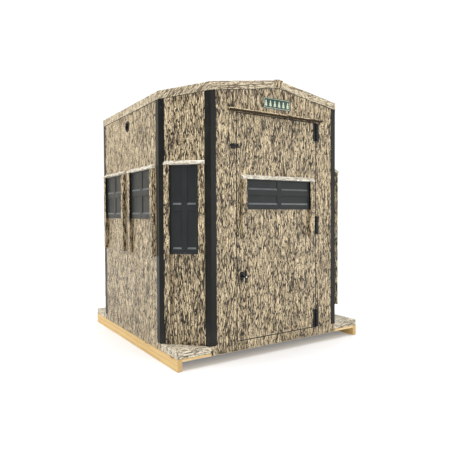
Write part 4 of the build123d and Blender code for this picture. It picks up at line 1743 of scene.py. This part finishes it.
@dataclass
class WindowSet(Assembly):
    """Windows that share a body: film-wrapped tracks and hoods, black channel strips that also paint
    the jambs' shade, moulded shutters.
    """

    name: str
    windows: list[Window]
    shutters: list[str]
    track_node: str
    body: str
    track_width: float = 45 * MM
    track_reach: float = 30 * MM
    track_roll: tuple[float, float] = (4 * MM, 3 * MM)
    groove: float = 10 * MM
    lip: float = 11 * MM
    crease: float = 0.5 * MM
    channel_shade_below: float = 4 * MM
    hood_reach: float = 38 * MM
    hood_rise: float = 34 * MM
    hood_roll: tuple[float, float] = (2 * MM, 4.2 * MM)
    hood_end: float = 2.5 * MM
    face_out: float = 10.5 * MM
    back_out: float = 1.5 * MM
    side_bar: float = 18 * MM
    centre_bar: float = 40 * MM
    mid_rail: float = 45 * MM
    foot_rail: float = 38 * MM
    head_rail: float = 8 * MM
    pocket: float = 5.5 * MM
    draft: float = 6 * MM
    ledge: float = 13 * MM
    bead: tuple[float, float, float] = (0.9 * MM, 1.2 * MM, 1.3 * MM)
    hole: tuple[float, float] = (7 * MM, 5 * MM)
    edge_roll: float = 2 * MM

    def tracks(self, film: bpy.types.Material) -> None:
        """Stepped strips up both sides of each window, with rolled front edges.

        Args:
            film: the tracks' finish.
        """
        shape, lining = Shape(), Shape()
        for window in self.windows:
            w, reach, lip = window.width / 2, self.track_reach, self.lip
            outer, inner = w + self.track_width, w + self.groove
            corners = [(inner, 0), (outer, 0), (outer, reach), (w, reach), (w, lip), (inner, lip)]
            radii = [self.crease, self.crease, *self.track_roll, self.crease, self.crease]
            edge = lip + 0.5 * MM, reach - 3.2 * MM
            # Black strip on each track's inner face beside the shutter: a black channel face and
            # painted shade of the jamb, from just under the sill to the head.
            strip = box_corners(w - 0.8 * MM, w + 0.3 * MM, *edge)
            up = up_face(window.face)
            film_at = (float(window.face.origin @ window.face.right), 0.0)
            for hand in (-1, 1):
                for target, points, radius, start in (
                    (shape, corners, radii, window.foot),
                    (lining, strip, [0.3 * MM] * 4, window.sill - self.channel_shade_below),
                ):
                    if hand < 0:
                        points, radius = [(-a, b) for a, b in points][::-1], radius[::-1]
                    section = Outline.rounded(points, radius)
                    prism(target, section, up, start, window.head, film_at=film_at)
        wraps = shape.piece(f"{self.name}_track_wraps", film, FOLDS)
        self.settle(wraps, self.body, "camo_skin", self.track_node)
        channel_shade_strips = lining.piece(f"{self.name}_track_channel_shade", TRIM, FOLDS)
        self.settle(channel_shade_strips, self.body, "black_trim")

    def hoods(self, shape: Shape) -> None:
        """Sloped hoods over the tracks, with a fat rolled nose.

        Args:
            shape: what they are added to.
        """
        for window in self.windows:
            half = window.width / 2 + self.track_width
            z, reach, rise = window.head, self.hood_reach, self.hood_rise
            corners = [(0, z), (reach, z), (reach, z + rise / 4), (0, z + rise)]
            section = Outline.rounded(corners, [self.crease, *self.hood_roll, 1 * MM], 5)
            offset = float(window.face.origin @ window.face.right) * 3
            place, film_at = across(window.face), (offset, offset)
            prism(shape, section, place, -half, half, self.hood_end, 4, film_at=film_at)

    def shutter(self, window: Window, node: str, material: bpy.types.Material) -> None:
        """A moulded shutter.

        Its front is a height field. The depth of each of its four pockets is the product of smooth
        ramps from its sides and head and of a straight ramp up from its foot, the ledge, which ends
        in a small raised bead. The outer edge rolls over in a quarter circle, and a round finger
        hole sinks into the bottom rail.

        Args:
            window: the window it closes.
            node: the shutter's node.
            material: its finish.
        """
        width = window.width + 2 * SHUTTER_IN_TRACK
        height = window.head - window.sill - SHUTTER_TO_HOOD
        pocket_w = (window.width - 2 * self.side_bar - self.centre_bar) / 2
        pocket_h = (height - self.mid_rail - self.foot_rail - self.head_rail) / 2
        middles = np.array([-1, 1]) * (self.centre_bar + pocket_w) / 2
        feet = self.foot_rail + np.array([0, 1]) * (pocket_h + self.mid_rail)
        x = [RIM_LINES - width / 2, width / 2 - RIM_LINES, HOLE_LINES]
        x += [m - pocket_w / 2 + DRAFT_LINES for m in middles]
        x += [m + pocket_w / 2 - DRAFT_LINES for m in middles]
        z = [RIM_LINES, height - RIM_LINES, HOLE_LINES + HOLE_RISE]
        z += [foot + LEDGE_LINES for foot in feet]
        z += [foot + pocket_h - DRAFT_LINES for foot in feet]
        x, z = np.unique(np.concatenate(x).round(7)), np.unique(np.concatenate(z).round(7))
        gx, gz = np.meshgrid(x, z)
        depth = np.zeros_like(gx)
        bead_rise, bead_drop, bead_half = self.bead
        for middle in middles:
            side = smooth((pocket_w / 2 - np.abs(gx - middle)) / self.draft)
            for foot in feet:
                head = smooth((foot + pocket_h - gz) / (self.draft * 0.5))
                ramp = np.clip((gz - foot) / self.ledge, 0, 1)
                bead = np.exp(-(((gz - foot + bead_drop) / bead_half) ** 2))
                bead = bead * np.minimum(side * 2, 1)
                depth += self.pocket * side * head * ramp - bead_rise * bead
        hole, sink = self.hole
        away = np.hypot(gx, gz - HOLE_RISE)
        depth += sink * np.clip((hole - away) / (1 * MM), 0, 1)
        edge = np.minimum(width / 2 - np.abs(gx), np.minimum(gz, height - gz))
        inside = np.clip(self.edge_roll - edge, 0, self.edge_roll)
        depth += self.edge_roll - np.sqrt(self.edge_roll**2 - inside**2)
        shape = Shape()
        slab(shape, x, z + window.sill, self.face_out - depth, self.back_out, window.face)
        moulding = shape.piece(f"{node}_moulding", material, MOULDED)
        self.settle(moulding, f"{node}_body", "shutter_plastic", node)

    def build(self, film: bpy.types.Material, plastic: bpy.types.Material) -> None:
        """Builds the tracks and the shutters.

        Args:
            film: the tracks' finish.
            plastic: the shutters' finish.
        """
        self.tracks(film)
        for window, node in zip(self.windows, self.shutters):
            self.shutter(window, node, plastic)


# ---------------------------------------------------------------- small fittings


@dataclass
class Fittings(Assembly):
    """Name plate and the two round vents."""

    plate_corner: float = 4 * MM
    blade: float = 1.6 * MM
    blades: int = 5
    blade_pitch: float = 12.5 * MM
    slant: float = 9 * MM
    flange: float = 12.5 * MM
    sleeve: float = 3 * MM
    vent_points: int = 40

    def plate(self) -> None:
        """The plate with rolled edges."""
        low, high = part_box("name_plate")
        centre = ((low.x + high.x) / 2, (low.z + high.z) / 2)
        half = ((high.x - low.x) / 2, (high.z - low.z) / 2)
        shape = Shape()
        pressed(shape, (low, high), self.plate_corner, 0.0, -SHELL.half_y - low.y)
        material = SignPrint("sign_print", centre, half).make()
        plate = shape.piece("sign_plate", material, FOLDS)
        self.settle(plate, "shell", "sign_green", "name_plate")

    def vent(self, side: int, node: str) -> None:
        """Round flange with a rolled lip, a sleeve through the wall, and slanted blades across it.

        Args:
            side: the face's number.
            node: the vent's node.
        """
        face = SHELL.face(side)
        low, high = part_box(node)
        level, rim = (low.z + high.z) / 2, (high.z - low.z) / 2
        bore = rim - self.flange
        inner, axis = bore - self.sleeve, off_face(face, 0.0, level)
        shape = Shape()
        lip = [(inner, 0), (rim, 0), (rim, 1.5 * MM), (rim - 4 * MM, 5 * MM)]
        lip += [(bore - 1 * MM, 5 * MM), (inner, 2 * MM)]
        hoop(shape, Outline.rounded(lip, 0.4 * MM, 2), axis, self.vent_points)
        sleeve = box_corners(inner, bore, -44 * MM, 0.5 * MM)
        hoop(shape, Outline.rounded(sleeve, 0.3 * MM, 2), axis, self.vent_points)
        place = lambda out, rise, s: face.at(s, out, rise + level)
        for up in (np.arange(self.blades) - (self.blades - 1) / 2) * self.blade_pitch:
            half = math.sqrt((bore - 2 * MM) ** 2 - up**2)
            foot, t = up - 4 * MM, self.blade
            corners = [(-6 * MM, foot + self.slant), (3 * MM, foot), (3 * MM, foot + t)]
            corners += [(-6 * MM, foot + self.slant + t)]
            prism(shape, Outline.rounded(corners, 0.4 * MM, 2), place, -half, half, 0.3 * MM)
        self.settle(shape.piece(f"{node}_louvre", TRIM, METAL), "shell", "black_trim", node)

    def build(self) -> None:
        """Builds the plate and both vents."""
        self.plate()
        self.vent(LEFT, "vent_left")
        self.vent(RIGHT, "vent_right")


# ---------------------------------------------------------------- studio


@dataclass(frozen=True)
class Studio:
    """White floor and surround, soft lights, and the camera."""

    eye: tuple[float, float, float] = (-2.3537, -3.7732, 1.1195)
    yaw: float = 32.798
    pitch: float = -1.446
    roll: float = -0.2745
    lens: float = 36.50
    sensor: float = 36.0
    horizon: float = 0.28
    zenith: float = 1.15
    shown: float = 1.05
    floor_half: float = 40.0
    floor_glow: float = 0.66

    def camera(self) -> None:
        """Camera that looks yaw from +Y towards +X, pitched and rolled, all in focus."""
        yaw, pitch, roll = (math.radians(a) for a in (self.yaw, self.pitch, self.roll))
        reach = math.cos(pitch)
        ahead = Vector((math.sin(yaw) * reach, math.cos(yaw) * reach, math.sin(pitch)))
        level = Vector((math.cos(yaw), -math.sin(yaw), 0.0))
        above = level.cross(ahead)
        right = level * math.cos(roll) + above * math.sin(roll)
        up = above * math.cos(roll) - level * math.sin(roll)
        data = bpy.data.cameras.new("camera")
        data.lens, data.sensor_width = self.lens, self.sensor
        data.clip_start, data.clip_end = 0.05, 200.0
        camera = bpy.data.objects.new("camera", data)
        turn = Matrix((right, up, -ahead)).transposed().to_4x4()
        camera.matrix_world = Matrix.Translation(self.eye) @ turn
        bpy.context.scene.collection.objects.link(camera)
        bpy.context.scene.camera = camera

    def floor(self) -> None:
        """A wide pale floor that glows more the farther it lies from the blind."""
        shape = Shape()
        half = self.floor_half
        section = Outline.rounded(box_corners(-half, half, -half, half), 0.5, 2)
        prism(shape, section, upright, -20 * MM, -0.5 * MM, 1 * MM)
        bench = Bench("floor_white")
        clouds = bench.noise(bench.place(), (0.8, 0.8, 0.8), 2.0)
        colour = bench.mix(clouds, (0.62, 0.62, 0.62), (0.65, 0.65, 0.65))
        x, y, _ = bench.axes(bench.place())
        far = (x * x + y * y).root().ease(1.6, 6.0, 0.3, 1.0)
        glow = bench.mix(far, (0.0,) * 3, (1.0,) * 3)
        bench.shader.inputs["Emission Strength"].default_value = self.floor_glow
        made = bench.finish(Base_Color=colour, Roughness=0.9, Emission_Color=glow)
        shape.piece("floor", made)

    def surround(self) -> None:
        """A white world that lights softly, more from above, and shows plain white."""
        world = bpy.data.worlds.new("surround")
        world.use_nodes = True
        tree = world.node_tree
        tree.nodes.clear()
        path = tree.nodes.new("ShaderNodeLightPath")
        where = tree.nodes.new("ShaderNodeTexCoord")
        split = tree.nodes.new("ShaderNodeSeparateXYZ")
        lift = tree.nodes.new("ShaderNodeMapRange")
        lift.interpolation_type = "SMOOTHSTEP"
        for number, value in enumerate((-0.1, 0.75, self.horizon, self.zenith), 1):
            lift.inputs[number].default_value = value
        share = tree.nodes.new("ShaderNodeMapRange")
        share.inputs["To Max"].default_value = self.shown
        background = tree.nodes.new("ShaderNodeBackground")
        background.inputs["Color"].default_value = (1.0, 1.0, 1.0, 1.0)
        output = tree.nodes.new("ShaderNodeOutputWorld")
        for source, target in (
            (where.outputs["Generated"], split.inputs[0]),
            (split.outputs["Z"], lift.inputs["Value"]),
            (lift.outputs[0], share.inputs["To Min"]),
            (path.outputs["Is Camera Ray"], share.inputs["Value"]),
            (share.outputs[0], background.inputs["Strength"]),
            (background.outputs[0], output.inputs["Surface"]),
        ):
            tree.links.new(source, target)
        bpy.context.scene.world = world

    def softbox(
        self,
        name: str,
        eye: Sequence[float],
        target: Sequence[float],
        size: tuple[float, float],
        watts: float,
        tint: Colour = (1.0, 1.0, 1.0),
    ) -> None:
        """A rectangular area light that faces its target and isn't seen itself.

        Args:
            name: its name.
            eye: where it stands.
            target: what it faces.
            size: its width and height.
            watts: its power.
            tint: its colour.
        """
        data = bpy.data.lights.new(name, "AREA")
        data.shape = "RECTANGLE"
        data.size, data.size_y = size
        data.energy = watts
        data.color = tint
        light = bpy.data.objects.new(name, data)
        light.visible_camera = False
        light.location = eye
        light.rotation_euler = (Vector(target) - Vector(eye)).to_track_quat("-Z", "Y").to_euler()
        bpy.context.scene.collection.objects.link(light)

    def build(self) -> None:
        """Sets up the camera, floor, surround and lights."""
        self.camera()
        self.floor()
        self.surround()
        warm = (1.0, 0.83, 0.56)
        self.softbox("left_box", (-5.6, 2.4, 2.1), (-0.9, 0.0, 1.2), (3.5, 3.0), 72.0)
        self.softbox("veil_box", (-3.6, 5.2, 1.9), (-0.9, 0.0, 1.1), (4.5, 3.5), 40.0, warm)
        self.softbox("front_box", (3.9, -5.9, 1.9), (0.1, -0.9, 1.2), (4.0, 3.6), 92.0)
        self.softbox("top_box", (-0.6, -0.8, 7.5), (-0.3, -0.3, 1.0), (4.5, 4.5), 480.0)
        scene = bpy.context.scene
        scene.view_settings.view_transform = "Standard"
        scene.view_settings.look = "None"


# ---------------------------------------------------------------- whole blind


def window_sets() -> list[WindowSet]:
    """Measures every window.

    Returns:
        The door's set, the left, right and rear walls' sets, and the corner panels' set.
    """
    door = Window.measure(FRONT, "door_shutter", "door_window_tracks")
    sets = [WindowSet("door", [door], ["door_shutter"], "door_window_tracks", "door")]
    walls = [
        (name, (side, side), [f"{name}_shutter_1", f"{name}_shutter_2"])
        for side, name in WALLS.items()
    ]
    corners = ("corner", tuple(CORNERS), [f"corner_shutter_{name}" for name in CORNERS.values()])
    for name, sides, shutters in (*walls, corners):
        tracks = f"{name}_window_tracks"
        windows = [Window.measure(side, shutter, tracks) for side, shutter in zip(sides, shutters)]
        sets.append(WindowSet(name, windows, shutters, tracks, "shell"))
    return sets


def main() -> None:
    """Builds every assembly in order."""
    logging.basicConfig(level=logging.INFO, format="%(name)s: %(message)s")
    Studio().build()
    SkidBase().build()
    ShellSkin().build()
    Roof().build()
    DoorSet().build()
    TurnLatch().build()
    HandleLock().build()
    film = BarkFilm("track_film", Grain.FILM).make()
    lit_hood_film = LIT_HOOD_FILM.make()
    plastic = PLASTIC.make()
    sets = window_sets()
    for group in sets:
        group.build(film, plastic)
    for name, body, node, members in (
        ("door_hood_wrap", "door", "door_window_hood", sets[:1]),
        ("wall_hood_wraps", "shell", "wall_window_hoods", sets[1:4]),
        ("corner_hood_wraps", "shell", "corner_window_hoods", sets[4:]),
    ):
        shape = Shape()
        for group in members:
            group.hoods(shape)
        Assembly().settle(shape.piece(name, lit_hood_film, FOLDS), body, "camo_skin", node)
    Fittings().build()


CORNERS = {
    FRONT_LEFT: "front_left",
    FRONT_RIGHT: "front_right",
    REAR_LEFT: "rear_left",
    REAR_RIGHT: "rear_right",
}
WALLS = {LEFT: "left", RIGHT: "right", REAR: "rear"}
EAVE = float(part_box("inner_corner_angles")[1].z)
SLOPE = (RIDGE - EAVE) / SHELL.half_x

# How each shutter sits in its tracks, and where grid lines cross its face.
SHUTTER_SHEET = 9 * MM
SHUTTER_IN_TRACK = 8 * MM
SHUTTER_TO_HOOD = 1 * MM
HOLE_RISE = 14 * MM
DRAFT_LINES = np.array([-0.5, 0.0, 1.0, 2.0, 3.5, 5.0, 6.0, 6.5]) * MM
RIM_LINES = np.array([0.0, 0.25, 0.7, 1.3, 2.0, 2.6]) * MM
HOLE_LINES = np.array([-9, -7.5, -6.5, -5, -2.5, 0, 2.5, 5, 6.5, 7.5, 9]) * MM
LEDGE_LINES = np.array([-4, -3, -2, -1, 0, 1, 3, 6, 9, 12, 13, 13.5]) * MM

# Painted light: a much lighter, low-contrast copy of the wall film for the hoods, whose sloped tops
# catch the light.
LIT_HOOD_FILM = BarkFilm(
    "lit_hood_film",
    Grain.FILM,
    cream=(0.9, 0.86, 0.74),
    tan=(0.66, 0.6, 0.47),
    dark=(0.22, 0.185, 0.13),
    fissure=0.09,
    lift=1.62,
)
# The dust colour here is chiefly a painted highlight: the bluish tone that the up-facing ledges are
# lightened to.
PLASTIC = Coated(
    "shutter_plastic",
    (0.0155, 0.018, 0.018),
    dust=(0.24, 0.26, 0.258),
    dusty=0.03,
    gloss=(0.38, 0.54),
    sheen=0.21,
    ledge=0.62,
)
PINE = PineBoard("skid_pine").make()
TRIM = Coated(
    "trim_coat", (0.0058, 0.0062, 0.0052), dusty=0.05, gloss=(0.3, 0.44), low=0.5, sheen=0.2
).make()
HINGE = Coated(
    "hinge_coat", (0.006, 0.006, 0.0065), dusty=0.04, gloss=(0.28, 0.42), sheen=0.2
).make()
SCREW = Coated("screw_coat", (0.012, 0.012, 0.012), dusty=0.08, gloss=(0.25, 0.4)).make()
RUBBER = Coated(
    "seal_rubber", (0.01, 0.01, 0.01), dusty=0.06, gloss=(0.6, 0.8), relief=0.2 * MM
).make()
ZINC = BrightMetal("zinc_plate", (0.5, 0.5, 0.52), (0.25, 0.42)).make()
CHROME = BrightMetal("chrome_plate", (0.8, 0.8, 0.82), (0.06, 0.2)).make()

if __name__ == "__main__":
    main()
